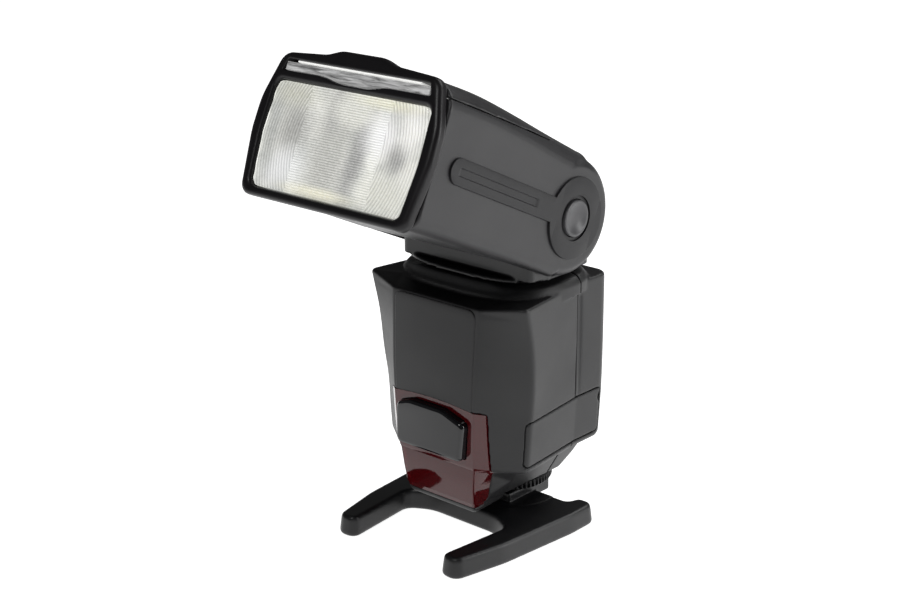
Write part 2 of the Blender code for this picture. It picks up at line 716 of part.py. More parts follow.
def build_bezel():
    """Build the frame around the lens, with the slot for the panel and card."""
    outline = rounded(mirrored(BEZEL_RIGHT))
    shrink = [(0.965 * x, 0.965 * u) for x, u in outline]
    bezel = loft("head_bezel", [
        [(x, -78.2, u) for x, u in shrink], [(x, -78.9, u) for x, u in outline],
        [(x, -81.2, u) for x, u in outline], [(x, -FACE_F, u) for x, u in shrink],
    ])
    cut(bezel, prism("lens_hole", lens_outline(0.0), -90.0, -70.0, "Y"),
        prism("panel_hole", slot_outline(PANEL_HALF + 0.4, PANEL_U[0] - 0.4, PANEL_U[1] + 0.4),
              -90.0, -70.0, "Y"),
        prism("card_hole", slot_outline(CARD_HALF + 0.4, PANEL_U[1], CARD_U[1] + 0.4),
              -90.0, -70.0, "Y"))
    finish_head(bezel, satin_black())


def build_optics():
    """Build the lens, the slide-out panel and card, and the reflector with its tube."""
    clear = material("clear_lens", (0.9, 0.9, 0.84), roughness=0.12, transmission=0.85)
    lens = prism("fresnel_lens", lens_outline(-GAP), -81.0, -77.6, "Y")
    fuse(lens, prism("lens_flange", rounded(mirrored(FLANGE_RIGHT)), -77.8, -75.6, "Y"))
    finish_head(lens, clear)

    panel = box("wide_panel", (-PANEL_HALF, -81.6, PANEL_U[0]), (PANEL_HALF, -31.0, PANEL_U[1] - 0.4))
    finish_head(panel, material("clear_panel", (0.85, 0.87, 0.85), roughness=0.08, transmission=0.8),
                (0.0, -81.6, PANEL_U[0]))
    card = box("bounce_card", (-CARD_HALF, -81.4, CARD_U[0]), (CARD_HALF, -33.0, CARD_U[1]))
    finish_head(card, material("white_card", (0.85, 0.85, 0.83), roughness=0.5),
                (0.0, -81.4, CARD_U[0]))


REFLECTOR_F = (44.0, 66.0)


def trough(half_front, half_back, thickness):
    """Return the reflector's profile, open to the front, as (depth, height) points."""
    steps = 7
    outer = []
    for index in range(steps + 1):
        share = index / steps
        height = half_back + (half_front - half_back) * math.sqrt(share)
        outer.append((REFLECTOR_F[0] + share * (REFLECTOR_F[1] - REFLECTOR_F[0]), height))
    top = [(-f, u) for f, u in outer]
    bottom = [(-f, -u) for f, u in reversed(outer)]
    inner_bottom = [(-f - thickness, -u + thickness) for f, u in outer]
    inner_top = [(-f - thickness, u - thickness) for f, u in reversed(outer)]
    return top + [(-REFLECTOR_F[1] - thickness, outer[-1][1])] + inner_top[0:] + \
        inner_bottom + [(-REFLECTOR_F[1] - thickness, -outer[-1][1])] + bottom


def build_reflector():
    """Build the reflector, the flash tube and the zoom drive."""
    offset = -1.2
    profile = [(y, u + offset) for y, u in trough(14.6, 4.6, 0.9)]
    reflector = prism("reflector", profile, -25.0, 25.0, "X")
    silver = material("reflector_silver", (0.9, 0.9, 0.88), metallic=1.0, roughness=0.12)
    finish_head(reflector, silver)
    tube = cylinder("flash_tube", 2.2, -27.5, 27.5, (-REFLECTOR_F[0] - 5.0, offset), "X", 16)
    finish_head(tube, material("tube_glass", (0.92, 0.93, 0.95), roughness=0.03, transmission=0.9))

    carriage = box("zoom_carriage", (-30.4, -52.0, -17.6), (30.4, -42.0, 14.6))
    cut(carriage, box("reflector_room", (-27.9, -60.0, -16.6), (27.9, -30.0, 13.9)))
    bores = ((-29.2, -15.0), (29.2, -15.0))
    for x, u in bores:
        fuse(carriage, cylinder("rod_boss", 2.2, -52.0, -42.0, (x, u), "Y", 16))
    cut(carriage, box("screw_room", (-31.0, -60.0, 8.0), (-28.6, -30.0, 12.4)))
    for x, u in bores:
        cut(carriage, cylinder("rod_bore", 1.3, -60.0, -30.0, (x, u), "Y", 12))
    finish_head(carriage, material("carriage_plastic", (0.04, 0.04, 0.045), roughness=0.5))

    for side, (x, u) in zip(("left", "right"), bores):
        finish_head(cylinder(f"{side}_guide_rod", 1.0, -74.5, -30.6, (x, u), "Y", 12), steel())
    screw_centre = (-30.4, 10.2)
    finish_head(cylinder("zoom_lead_screw", 1.2, -72.0, -41.0, screw_centre, "Y", 12), steel(),
                (screw_centre[0], -41.0, screw_centre[1]))
    finish_head(cylinder("zoom_motor", 3.4, -40.4, -31.0, (-29.6, 10.2), "Y", 20), steel())


def side_cover(name, sign):
    """Build one raised side strip that runs back into the round pivot cover."""
    disc_r = 13.9
    strip = 4.2
    nose = 70.5
    stations = [-disc_r * math.cos(math.pi * index / 20) for index in range(19)]
    stations = [f for f in stations if f < disc_r * math.cos(math.asin(strip / disc_r))]
    stations += [disc_r * math.cos(math.asin(strip / disc_r)), 20.0, 30.0, 40.0, 50.0, 60.0]
    stations += [nose - strip + strip * math.sin(math.pi / 2 * index / 5) for index in range(6)]
    sections = []
    for front in stations:
        if front < disc_r * math.cos(math.asin(strip / disc_r)):
            half = math.sqrt(max(0.04, disc_r ** 2 - front ** 2))
        else:
            bend = max(0.0, front - (nose - strip))
            half = math.sqrt(max(0.04, strip ** 2 - bend ** 2))
        inside = side_x(front) + GAP
        outside = inside + 0.8
        sections.append([(sign * inside, -front, -half), (sign * outside, -front, -half + 0.15),
                         (sign * outside, -front, half - 0.15), (sign * inside, -front, half)])
    return loft(name, sections)


def build_side_covers():
    """Build the covers on both sides and the tilt release button."""
    right = side_cover("right_side_cover", 1.0)
    cut(right, cylinder("button_hole", 6.2 + GAP, 30.0, 40.0, axis="X", count=28))
    finish_head(right, head_plastic())
    finish_head(side_cover("left_side_cover", -1.0), head_plastic())
    rings = ((33.6, 6.2), (35.6, 6.2), (36.1, 5.7))
    button = loft("release_button", [[(x, a, b) for a, b in circle(radius, 28)]
                                     for x, radius in rings])
    finish_head(button, material("button_grey", (0.09, 0.09, 0.095), roughness=0.4))


def main():
    """Clear the scene and build every piece."""
    for stale in list(bpy.data.objects):
        bpy.data.objects.remove(stale)
    build_body()
    build_front_trim()
    build_battery_bay()
    build_electronics()
    build_rear_controls()
    build_side_ports()
    build_foot()
    build_stand()
    build_neck()
    build_head_shells()
    build_bezel()
    build_optics()
    build_reflector()
    build_side_covers()


main()
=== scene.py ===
"""Speedlight flash on its mini stand: detailed surfaces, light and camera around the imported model.

Units: the numbers below are millimetres and degrees. The body front faces -Y, the battery door is
on +X, the swivel axis is the world Z axis and the stand rests on z = 0.
Head pieces are drawn in head space: x across, y = minus the distance in front of the tilt axis,
z above the tilt axis. They are turned to the rest tilt when they are placed.
"""

from math import copysign, cos, hypot, pi, radians, sin, sqrt, tan, tau

import bmesh
import bpy
import numpy as np
from mathutils import Matrix, Vector


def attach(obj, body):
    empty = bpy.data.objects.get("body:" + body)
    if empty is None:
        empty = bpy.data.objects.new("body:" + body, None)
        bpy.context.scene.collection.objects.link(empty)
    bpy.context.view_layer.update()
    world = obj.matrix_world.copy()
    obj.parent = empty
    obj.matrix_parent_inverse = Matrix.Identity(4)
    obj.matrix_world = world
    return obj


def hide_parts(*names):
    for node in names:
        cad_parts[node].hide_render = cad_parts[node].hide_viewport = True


MM = 0.001
PIVOT_Z = 115.5            # tilt axis above the stand's underside
TILT = 25.0                # rest tilt of the head above level
WALL = 2.0                 # shell thickness
SEAM_Y = 8.0               # parting plane between the front and rear shells
REAR_Y = 26.5              # rear face of the body
PANEL_TOP_Z = 88.0         # top edge of the centre panel
RIM_Z = 90.0               # top edge of the sides
COLLAR_Z = 94.2            # top of the body's collar
FOOT_Y = 6.4               # centre of the foot and its locking ring
NECK_HALF = 30.0           # half width of the neck between the head's cheeks
BARREL_R = 17.0            # radius of the neck's barrel around the tilt axis
SOFT_ANGLE = 32.0          # edges sharper than this stay crisp in the shading
CLEAR_IOR = 1.49           # refraction of the clear mouldings

LOOKS = {}                 # every material by its short name, made once the model is loaded

# height, panel half width, panel y, side x, side front y, side x at the seam
BODY_LEVELS = (
    (30.3, 17.0, -31.1, 31.7, -20.0, 28.6),
    (36.0, 17.4, -31.6, 32.2, -20.0, 29.0),
    (50.0, 18.1, -32.2, 33.3, -19.9, 29.8),
    (60.0, 18.6, -32.1, 34.5, -20.6, 30.0),
    (75.0, 19.0, -31.5, 35.2, -22.1, 30.1),
    (89.0, 19.3, -30.8, 35.5, -25.6, 30.1),
)
BODY_TOP = BODY_LEVELS[-1]


# ---------------- materials

def new_material():
    """Make a material and return it with its node tree and its shader node."""
    made = bpy.data.materials.new("surface")
    made.use_nodes = True
    return made, made.node_tree, made.node_tree.nodes["Principled BSDF"]


def connect(tree, socket, value):
    """Link a socket to another node's output, or set it to a plain value."""
    if isinstance(value, bpy.types.NodeSocket):
        tree.links.new(value, socket)
    else:
        socket.default_value = value


def feed(tree, node, **inputs):
    """Connect a node's named inputs."""
    for name, value in inputs.items():
        connect(tree, node.inputs[name.replace("_", " ")], value)


def add(tree, kind, **inputs):
    """Add a shader node and connect its named inputs."""
    node = tree.nodes.new("ShaderNode" + kind)
    feed(tree, node, **inputs)
    return node


def object_position(tree):
    """Return the position in the object's own coordinates, in metres."""
    return tree.nodes.new("ShaderNodeTexCoord").outputs["Object"]


def noise(tree, scale, detail, distortion=0.0, place=None):
    """Return noise at a position, or at the object's own, with a scale per unit of it."""
    node = add(tree, "TexNoise", Vector=place or object_position(tree), Scale=scale,
               Detail=detail, Distortion=distortion)
    return node.outputs["Fac"]


def mapped(tree, vector, **inputs):
    """Return a position that is moved, turned or scaled."""
    return add(tree, "Mapping", Vector=vector, **inputs).outputs["Vector"]


def remap(tree, source, low, high):
    """Map the middle of a 0 to 1 value to a range."""
    node = add(tree, "MapRange", Value=source, From_Min=0.3, From_Max=0.7,
               To_Min=low, To_Max=high)
    return node.outputs["Result"]


def ramp(tree, source, low, high, span=(0.3, 0.7)):
    """Return a blend from one colour to another over a span of a value."""
    node = add(tree, "ValToRGB", Fac=source)
    for element, spot, color in zip(node.color_ramp.elements, span, (low, high)):
        element.position = spot
        element.color = (*color, 1.0)
    return node.outputs["Color"]


def varied(tree, source, color, spread):
    """Return a colour that goes from darker to lighter with a value."""
    return ramp(tree, source, [c * (1 - spread) for c in color],
                [min(1.0, c * (1 + spread)) for c in color])


def bumped(tree, source, depth):
    """Return the normal of a height field of the given depth."""
    node = add(tree, "Bump", Strength=1.0, Distance=depth * MM, Height=source)
    return node.outputs["Normal"]


def plastic(color, roughness, grain=0.35, depth=0.02, spread=0.12, shine=0.4):
    """Moulded plastic: a fine grain of the given pitch, uneven gloss and faint tone changes."""
    made, tree, shader = new_material()
    fine = noise(tree, 1000.0 / grain, 2.0)
    broad = noise(tree, 45.0, 4.0)
    feed(tree, shader, Specular_IOR_Level=shine, Base_Color=varied(tree, broad, color, spread),
         Roughness=remap(tree, broad, roughness - 0.04, roughness + 0.06),
         Normal=bumped(tree, fine, depth))
    return made


def metal(color, roughness, stretch=(1.0, 1.0, 1.0)):
    """Metal with fine drawn or turned marks, stretched along one axis."""
    made, tree, shader = new_material()
    marks = noise(tree, 1500.0, 4.0, place=mapped(tree, object_position(tree), Scale=stretch))
    feed(tree, shader, Metallic=1.0, Base_Color=varied(tree, marks, color, 0.08),
         Roughness=remap(tree, marks, roughness * 0.7, roughness * 1.4),
         Normal=bumped(tree, marks, 0.01))
    return made


def clear(color, roughness, transmission, shine=0.5):
    """Clear moulded plastic or glass with slight waviness."""
    made, tree, shader = new_material()
    waves = noise(tree, 500.0, 2.0)
    feed(tree, shader, Transmission_Weight=transmission, IOR=CLEAR_IOR, Specular_IOR_Level=shine,
         Base_Color=varied(tree, waves, color, 0.03),
         Roughness=remap(tree, waves, roughness * 0.8, roughness * 1.3),
         Normal=bumped(tree, waves, 0.01))
    return made


def painted_glow(made, strength):
    """Add painted light: a faint glow in the base colour stands in for light from inside the head
    reaching the part, which is no lamp.
    """
    shader = made.node_tree.nodes["Principled BSDF"]
    source = shader.inputs["Base Color"].links[0].from_socket
    feed(made.node_tree, shader, Emission_Color=source, Emission_Strength=strength)
    return made


def panel_surface():
    """Clear panel with a painted glow along its length, as if lit from its edge, and lighter and
    darker streaks across it that glow with it.
    """
    made, tree, shader = new_material()
    place = mapped(tree, object_position(tree), Scale=(90.0, 900.0, 900.0))
    streaks = noise(tree, 1.0, 5.0, 1.2, place)
    feed(tree, shader, Transmission_Weight=0.35, IOR=CLEAR_IOR, Roughness=0.12,
         Base_Color=varied(tree, streaks, (0.36, 0.36, 0.36), 0.75),
         Normal=bumped(tree, streaks, 0.25))
    # painted light: the panel glows in its streaked base colour though it is no lamp
    return painted_glow(made, 0.35)


def soft_patch(tree, place, centre, size, turn, edge):
    """Return a value that is 1 inside a soft oval patch of the lens and 0 outside it."""
    local = add(tree, "Mapping", Vector=place, Location=(*centre, 0.0),
                Rotation=(0.0, 0.0, radians(turn)), Scale=(*size, 1.0))
    local.vector_type = "TEXTURE"
    length = add(tree, "VectorMath", Vector=local.outputs["Vector"])
    length.operation = "LENGTH"
    fade = add(tree, "MapRange", Value=length.outputs["Value"], From_Min=1.0 - edge,
               From_Max=1.0 + edge, To_Min=1.0, To_Max=0.0)
    fade.interpolation_type = "SMOOTHSTEP"
    return fade.outputs["Result"]


def laid_over(tree, under, over, share, mode="MIX"):
    """Return a colour with another laid over it."""
    node = add(tree, "Mix", Factor=share)
    node.data_type = "RGBA"
    node.blend_type = mode
    connect(tree, node.inputs[6], under)
    connect(tree, node.inputs[7], over)
    return node.outputs[2]


# painted reflections of the mirror and tube seen through the lens, as soft patches of tone: across,
# up (both in the lens plane), half width, half height, turn, softness, tone
LENS_PAINTED_REFLECTIONS = (
    (-20.5, 1.5, 7.0, 9.0, 10.0, 0.9, (0.5, 0.5, 0.48)),
    (-3.0, -2.0, 8.0, 24.0, 0.0, 0.6, (0.56, 0.56, 0.53)),
    (-5.0, 8.5, 2.2, 7.0, 0.0, 0.8, (0.5, 0.5, 0.48)),
    (8.5, -3.0, 3.6, 17.0, -6.0, 0.7, (0.42, 0.42, 0.41)),
    (3.0, 10.0, 9.0, 5.0, 0.0, 0.5, (0.74, 0.74, 0.69)),
    (16.5, 4.0, 6.0, 6.0, 25.0, 0.9, (0.95, 0.95, 0.95)),
    (24.5, -2.0, 3.2, 4.0, 0.0, 0.9, (0.46, 0.46, 0.45)),
    (22.0, -13.5, 9.0, 5.0, 0.0, 0.7, (0.8, 0.8, 0.74)),
    (-22.0, -12.0, 8.0, 5.5, 20.0, 0.9, (0.9, 0.91, 0.91)),
    (-30.0, 1.0, 2.6, 13.0, 4.0, 0.9, (0.55, 0.56, 0.54)),
    (28.0, 7.0, 4.0, 6.0, 0.0, 0.8, (0.98, 0.98, 0.95)),
    (-24.0, 12.0, 9.0, 3.5, 0.0, 0.9, (0.66, 0.66, 0.59)),
    (-4.0, -17.5, 12.0, 1.6, 0.0, 0.9, (0.9, 0.88, 0.74)),
    (16.0, 14.0, 12.0, 1.8, 0.0, 0.9, (0.84, 0.83, 0.7)),
)


def lens_surface():
    """Bright clear lens moulding with painted light: painted reflections of the mirror and tube
    behind its ridges, painted sparkle, painted shade on the ridges and a painted glow.
    """
    made, tree, shader = new_material()
    place = mapped(tree, object_position(tree), Scale=(1.0 / MM, 1.0 / MM, 1.0 / MM))
    place = mapped(tree, place, Location=(0.0, 0.0, -PIVOT_Z))
    place = mapped(tree, place, Rotation=(radians(TILT - 90.0), 0.0, 0.0))
    split = add(tree, "SeparateXYZ", Vector=place)
    join = add(tree, "CombineXYZ", X=split.outputs["X"], Y=split.outputs["Y"])
    flat = join.outputs["Vector"]
    # painted light: a broad blend from grey to near white stands in for the mirror seen through the
    # lens
    broad = noise(tree, 0.09, 2.0, 0.3, flat)
    color = ramp(tree, broad, (0.62, 0.63, 0.6), (0.9, 0.9, 0.85), (0.36, 0.62))
    # each patch is a painted reflection of the mirror or tube behind the lens
    for across, up, half_x, half_u, turn, edge, tone in LENS_PAINTED_REFLECTIONS:
        mask = soft_patch(tree, flat, (across, up), (half_x, half_u), turn, edge)
        color = laid_over(tree, color, (*tone, 1.0), mask)
    # painted sparkle: small bright and dark glints laid softly over the colour
    painted_sparkle = remap(tree, noise(tree, 1.1, 4.0, 0.5, flat), 0.15, 0.85)
    color = laid_over(tree, color, painted_sparkle, 0.45, "SOFT_LIGHT")
    # painted shade and highlight on the ridges, stored per point when the lens is built
    painted_ridge_shading = add(tree, "Attribute")
    painted_ridge_shading.attribute_name = "painted_ridge_shading"
    color = laid_over(tree, color, painted_ridge_shading.outputs["Color"], 1.0, "MULTIPLY")
    # painted glow: the lens emits its own painted colour, though it is no lamp
    feed(tree, shader, Transmission_Weight=0.12, IOR=CLEAR_IOR, Roughness=0.12, Base_Color=color,
         Emission_Color=color, Emission_Strength=0.36)
    return made


def circuit_surface():
    """Green solder mask with lighter tracks."""
    made, tree, shader = new_material()
    cells = add(tree, "TexBrick", Vector=object_position(tree), Scale=350.0,
                Mortar_Size=0.06, Color1=(0.008, 0.08, 0.025, 1.0), Color2=(0.01, 0.1, 0.03, 1.0),
                Mortar=(0.04, 0.22, 0.08, 1.0))
    feed(tree, shader, Base_Color=cells.outputs["Color"], Roughness=0.35)
    return made


# ---------------- mesh helpers

def new_object(name, data):
    """Add an object to the scene."""
    made = bpy.data.objects.new(name, data)
    bpy.context.scene.collection.objects.link(made)
    return made


def mesh_object(name, points, faces):
    """Make an object from millimetre points, with its faces turned outwards."""
    mesh = bpy.data.meshes.new(name)
    mesh.from_pydata([[value * MM for value in point] for point in points], [], faces)
    shape = bmesh.new()
    shape.from_mesh(mesh)
    bmesh.ops.recalc_face_normals(shape, faces=shape.faces)
    shape.to_mesh(mesh)
    shape.free()
    return new_object(name, mesh)


def loft(name, sections):
    """Join closed outlines with the same point count into one solid."""
    count = len(sections[0])
    points = [point for section in sections for point in section]
    faces = [tuple(range(count))]
    for level in range(len(sections) - 1):
        low = level * count
        high = low + count
        for index in range(count):
            after = (index + 1) % count
            faces.append((low + index, low + after, high + after, high + index))
    faces.append(tuple(range(len(points) - count, len(points))))
    return mesh_object(name, points, faces)


def box(name, low, high):
    """Make a block between two corners."""
    corners = ((low[0], low[1]), (high[0], low[1]), (high[0], high[1]), (low[0], high[1]))
    return loft(name, [[(x, y, z) for x, y in corners] for z in (low[2], high[2])])


PLACERS = {
    "X": lambda a, b, c: (c, a, b),
    "Y": lambda a, b, c: (a, c, b),
    "Z": lambda a, b, c: (a, b, c),
}


def stack(name, outlines, depths, axis):
    """Join flat outlines that lie at the given depths along an axis."""
    place = PLACERS[axis]
    return loft(name, [[place(a, b, depth) for a, b in outline]
                       for outline, depth in zip(outlines, depths)])


def prism(name, outline, low, high, axis="Z"):
    """Extrude an outline from one plane to another along an axis."""
    return stack(name, (outline, outline), (low, high), axis)


def layered(name, outline_of, steps, axis):
    """Join the outlines a function gives for the second value of each (depth, value) step."""
    return stack(name, [outline_of(value) for _, value in steps], [depth for depth, _ in steps],
                 axis)


def circle(radius, count, centre=(0.0, 0.0), start=0.0):
    """Return the points of a circle, from a start angle in degrees."""
    turns = [radians(start) + tau * index / count for index in range(count)]
    return [(centre[0] + radius * cos(t), centre[1] + radius * sin(t)) for t in turns]


def cylinder(name, radius, low, high, centre=(0.0, 0.0), axis="Z", count=96):
    """Make a round rod."""
    return prism(name, circle(radius, count, centre), low, high, axis)


def turned(name, profile, centre=(0.0, 0.0), axis="Z", count=96):
    """Make a solid of revolution from (radius, depth) points."""
    outlines = [circle(radius, count, centre) for radius, _ in profile]
    return stack(name, outlines, [depth for _, depth in profile], axis)


def superellipse(half_x, half_y, power, count):
    """Return a rounded outline that is squarer than an ellipse."""
    reach = 2 / power
    return [(half_x * copysign(abs(x) ** reach, x), half_y * copysign(abs(y) ** reach, y))
            for x, y in circle(1.0, count)]


def rounded(corners, steps=7):
    """Return the outline of a polygon of (x, y, radius) corners with each corner rounded."""
    outline = []
    for index, (x, y, radius) in enumerate(corners):
        here = Vector((x, y))
        before = (Vector(corners[index - 1][:2]) - here).normalized()
        after = (Vector(corners[(index + 1) % len(corners)][:2]) - here).normalized()
        half = before.angle(after) / 2
        middle = here + (before + after).normalized() * radius / sin(half)
        start = here + before * radius / tan(half) - middle
        end = here + after * radius / tan(half) - middle
        for step in range(steps + 1):
            blend = start.lerp(end, step / steps).normalized() * radius
            outline.append(tuple(middle + blend))
    return outline


def rectangle(low_a, high_a, low_b, high_b, radius, grow=0.0):
    """Return a rectangle outline with rounded corners."""
    low_a, high_a, low_b, high_b = low_a - grow, high_a + grow, low_b - grow, high_b + grow
    radius = max(0.1, radius + grow)
    return rounded([(low_a, low_b, radius), (high_a, low_b, radius),
                    (high_a, high_b, radius), (low_a, high_b, radius)])


def mirrored(right_corners):
    """Return the corners of a symmetric outline from its right half, front to back."""
    return right_corners + [(-x, y, radius) for x, y, radius in reversed(right_corners)]


def modify(piece, kind, applied=True, **settings):
    """Add a modifier with its settings, and apply it unless it is to stay."""
    modifier = piece.modifiers.new(kind.lower(), kind)
    for name, value in settings.items():
        setattr(modifier, name, value)
    if applied:
        bpy.context.view_layer.objects.active = piece
        bpy.ops.object.modifier_apply(modifier=modifier.name)


def combine(base, tool, operation):
    """Apply a Boolean with the tool piece and remove the tool."""
    modify(base, "BOOLEAN", operation=operation, solver="EXACT", object=tool)
    bpy.data.objects.remove(tool)
    shape = bmesh.new()
    shape.from_mesh(base.data)
    bmesh.ops.remove_doubles(shape, verts=shape.verts, dist=0.000001)
    bmesh.ops.triangulate(shape, faces=shape.faces)
    shape.to_mesh(base.data)
    shape.free()


def cut(base, *tools):
    """Subtract each tool from the base."""
    for tool in tools:
        combine(base, tool, "DIFFERENCE")


def fuse(base, *tools):
    """Add each tool to the base."""
    for tool in tools:
        combine(base, tool, "UNION")
    return base


def soften(piece, voxel, passes):
    """Turn a cut solid into an even skin whose edges are rounded like a moulding's."""
    modify(piece, "REMESH", mode="VOXEL", voxel_size=voxel * MM)
    modify(piece, "SMOOTH", factor=0.5, iterations=passes)
    piece.data.shade_smooth()
    piece["softened"] = True


def place(piece, body, look, *nodes):
    """Finish a piece: its look, its shading, the body it rides on and the nodes it stands for."""
    piece.data.materials.clear()
    piece.data.materials.append(LOOKS[look])
    if not piece.get("softened"):
        piece.data.shade_smooth()
        piece.data.set_sharp_from_angle(angle=radians(SOFT_ANGLE))
    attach(piece, body)
    if nodes:
        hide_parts(*nodes)


def place_head(piece, look, *nodes, body="head"):
    """Turn a head piece to the rest tilt, lift it to the tilt axis and finish it."""
    turn = Matrix.Rotation(radians(-TILT), 4, "X")
    piece.data.transform(Matrix.Translation((0.0, 0.0, PIVOT_Z * MM)) @ turn)
    place(piece, body, look, *nodes)


def smoothstep(low, high, value):
    """Return a soft step from 0 to 1."""
    share = min(1.0, max(0.0, (value - low) / (high - low)))
    return share * share * (3 - 2 * share)


# ---------------- body

def level_at(levels, height):
    """Blend the rows of a level table smoothly at a height."""
    rows = np.array(levels)
    slopes = np.gradient(rows, rows[:, 0], axis=0)
    index = int(np.clip(np.searchsorted(rows[:, 0], height) - 1, 0, len(rows) - 2))
    span = rows[index + 1, 0] - rows[index, 0]
    t = (height - rows[index, 0]) / span
    rise = t ** 2 * (3 - 2 * t)
    lead = slopes[index] * t * (1 - t) ** 2 - slopes[index + 1] * t ** 2 * (1 - t)
    return tuple(rows[index] * (1 - rise) + rows[index + 1] * rise + span * lead)


def body_section(level, inset, z_of=None):
    """Return one plan section of the body, drawn in by the inset."""
    z, panel_x, panel_y, side_x, side_y, seam_x = level
    outline = rounded(mirrored([
        (panel_x - 0.4 * inset, panel_y + inset, 0.8),
        (side_x - inset, side_y + 0.6 * inset, 2.4),
        (seam_x - inset, SEAM_Y + 1.0, 3.0),
        (seam_x - inset, REAR_Y - inset, 5.0),
    ]))
    return [(x, y, z_of(x, y) if z_of else z) for x, y in outline]


def rim_height(x, y):
    """Return the height of the body's top edge, which dips over the centre panel."""
    across = min(1.0, max(0.0, (abs(x) - 18.0) / 14.0))
    along = min(1.0, max(0.0, (y + 30.0) / 9.0))
    return PANEL_TOP_Z + (RIM_Z - PANEL_TOP_Z) * max(across, along)


def body_upper(name, inset):
    """Loft the wide part of the body, from its lower edge to its top."""
    lowest = (BODY_LEVELS[0][0] - 1.7 + inset, *BODY_LEVELS[0][1:])
    sections = [body_section(lowest, inset + 1.6)]
    first = BODY_LEVELS[0][0] if inset == 0 else BODY_LEVELS[1][0]
    if inset == 0:
        sections.append(body_section((lowest[0] + 0.5, *lowest[1:]), 0.5))
    for height in np.linspace(first, 85.5, 48):
        sections.append(body_section(level_at(BODY_LEVELS, height), inset))
    for drop, extra in ((1.0, 0.0), (0.4, 0.1), (0.1, 0.4), (0.0, 0.9)):
        sections.append(body_section(BODY_TOP, inset + extra,
                                     lambda x, y, d=drop: rim_height(x, y) - d - inset))
    last = RIM_Z - 0.6 if inset == 0 else PANEL_TOP_Z - inset
    sections.append(body_section((last, *BODY_TOP[1:]), 9.0))
    return loft(name, sections)


def pedestal(name, inset):
    """Loft the narrow lower part of the body that carries the foot."""
    levels = (
        (16.2 + inset, 15.9, -29.3, 17.6, -14.0, 18.0),
        (22.0, 16.3, -30.2, 21.0, -15.0, 21.0),
        (29.7, 16.9, -30.9, 25.4, -16.0, 23.0),
        (32.5 + inset, 16.2, -29.8, 24.4, -16.0, 22.4),
    )
    outlines = [rounded(mirrored([
        (panel_x - 0.4 * inset, panel_y + inset, 1.0),
        (side_x - inset, side_y + inset, 2.5),
        (side_x - inset, back_y - inset, 4.0),
    ])) for _, panel_x, panel_y, side_x, side_y, back_y in levels]
    return stack(name, outlines, [row[0] for row in levels], "Z")


def chin(name, inset):
    """Loft the chin that hangs in front of the foot."""
    levels = (
        (12.2 + inset, 14.6, -27.6, 14.0),
        (13.2 + inset, 15.3, -28.3, 14.8),
        (16.3 + inset, 15.8, -29.2, 16.0),
        (20.0 + inset, 15.2, -28.2, 15.4),
    )
    outlines = [rounded(mirrored([
        (panel_x - 0.4 * inset, panel_y + inset, 1.0),
        (back_x - 0.4 * inset, -12.2 - inset, 1.2),
    ])) for _, panel_x, panel_y, back_x in levels]
    return stack(name, outlines, [row[0] for row in levels], "Z")


def collar(name):
    """Loft the collar around the swivel, its corners lower than its middle."""
    count = 96
    outer_foot = superellipse(32.0, 24.0, 3.0, count)
    outer_top = superellipse(31.0, 22.3, 3.0, count)
    inner_top = superellipse(24.0, 20.0, 2.4, count)
    drop = [1.5 * min(1.0, max(0.0, (hypot(x, y) - 27.0) / 3.0)) for x, y in outer_top]
    return loft(name, [
        [(x, y, PANEL_TOP_Z - 1.5) for x, y in outer_foot],
        [(x, y, RIM_Z + 0.4) for x, y in outer_foot],
        [(0.5 * (x + u), 0.5 * (y + v), RIM_Z + 1.4)
         for (x, y), (u, v) in zip(outer_foot, outer_top)],
        [(x, y, COLLAR_Z - 0.6 - d) for (x, y), d in zip(outer_top, drop)],
        [(0.98 * x, 0.98 * y, COLLAR_Z - d) for (x, y), d in zip(outer_top, drop)],
        [(x, y, COLLAR_Z) for x, y in inner_top],
    ])


def body_solid(name, inset):
    """Return the whole body as one solid, drawn in by the inset."""
    solid = fuse(body_upper(name, inset), pedestal("pedestal", inset), chin("chin", inset))
    if inset == 0:
        fuse(solid, collar("collar"))
    return solid


GAP = 0.3
WINDOW_TOP_Z = 50.8
WINDOW_BOTTOM_Z = 14.6
WINDOW_HALF = 21.4
DOOR = (-20.6, 22.6, 31.3, 47.9)       # y and z limits
DISPLAY = (-19.0, 19.0, 62.5, 83.0)    # x and z limits
PORT = (-8.0, 4.0, 60.0, 80.0)         # y and z limits


def window_block(name, grow):
    """Return the block that bounds the red window."""
    half = WINDOW_HALF + grow
    outline = [(-half, WINDOW_BOTTOM_Z - grow), (half, WINDOW_BOTTOM_Z - grow)]
    steps = 24
    for index in range(steps + 1):
        x = half * (1 - 2 * index / steps)
        outline.append((x, WINDOW_TOP_Z + grow + 1.6 * (1 - (x / half) ** 2)))
    return prism(name, outline, -40.0, -24.0 + grow, "Y")


def assist_outline(grow):
    """Return the outline of the black focus assist window."""
    return rounded([(-15.2 - grow, 33.2 - grow, 1.5), (14.0 + grow, 33.2 - grow, 1.5),
                    (15.6 + grow, 47.0 + grow, 2.5), (6.0, 50.2 + grow, 8.0),
                    (-9.0, 50.2 + grow, 8.0), (-15.2 - grow, 48.0 + grow, 2.5)])


BUTTONS = {
    "button_light": (-17.0, 56.8, 3.6, 2.2),
    "button_zoom": (-5.7, 56.8, 3.6, 2.2),
    "button_mode": (5.7, 56.8, 3.6, 2.2),
    "button_wireless": (17.0, 56.8, 3.6, 2.2),
    "button_up": (0.0, 50.6, 3.4, 1.7),
    "button_down": (0.0, 37.0, 3.4, 1.7),
    "button_left": (-7.0, 43.8, 1.8, 3.2),
    "button_right": (7.0, 43.8, 1.8, 3.2),
    "button_ok": (0.0, 43.8, 3.0, 3.0),
    "button_pilot": (-17.0, 43.0, 3.8, 3.8),
    "button_power": (17.0, 43.0, 3.8, 3.8),
}


def button_outline(x, z, half_x, half_z, grow):
    """Return the outline of one rear button."""
    radius = min(half_x, half_z) * 0.7
    return rectangle(x - half_x - grow, x + half_x + grow, z - half_z - grow, z + half_z + grow,
                     radius)


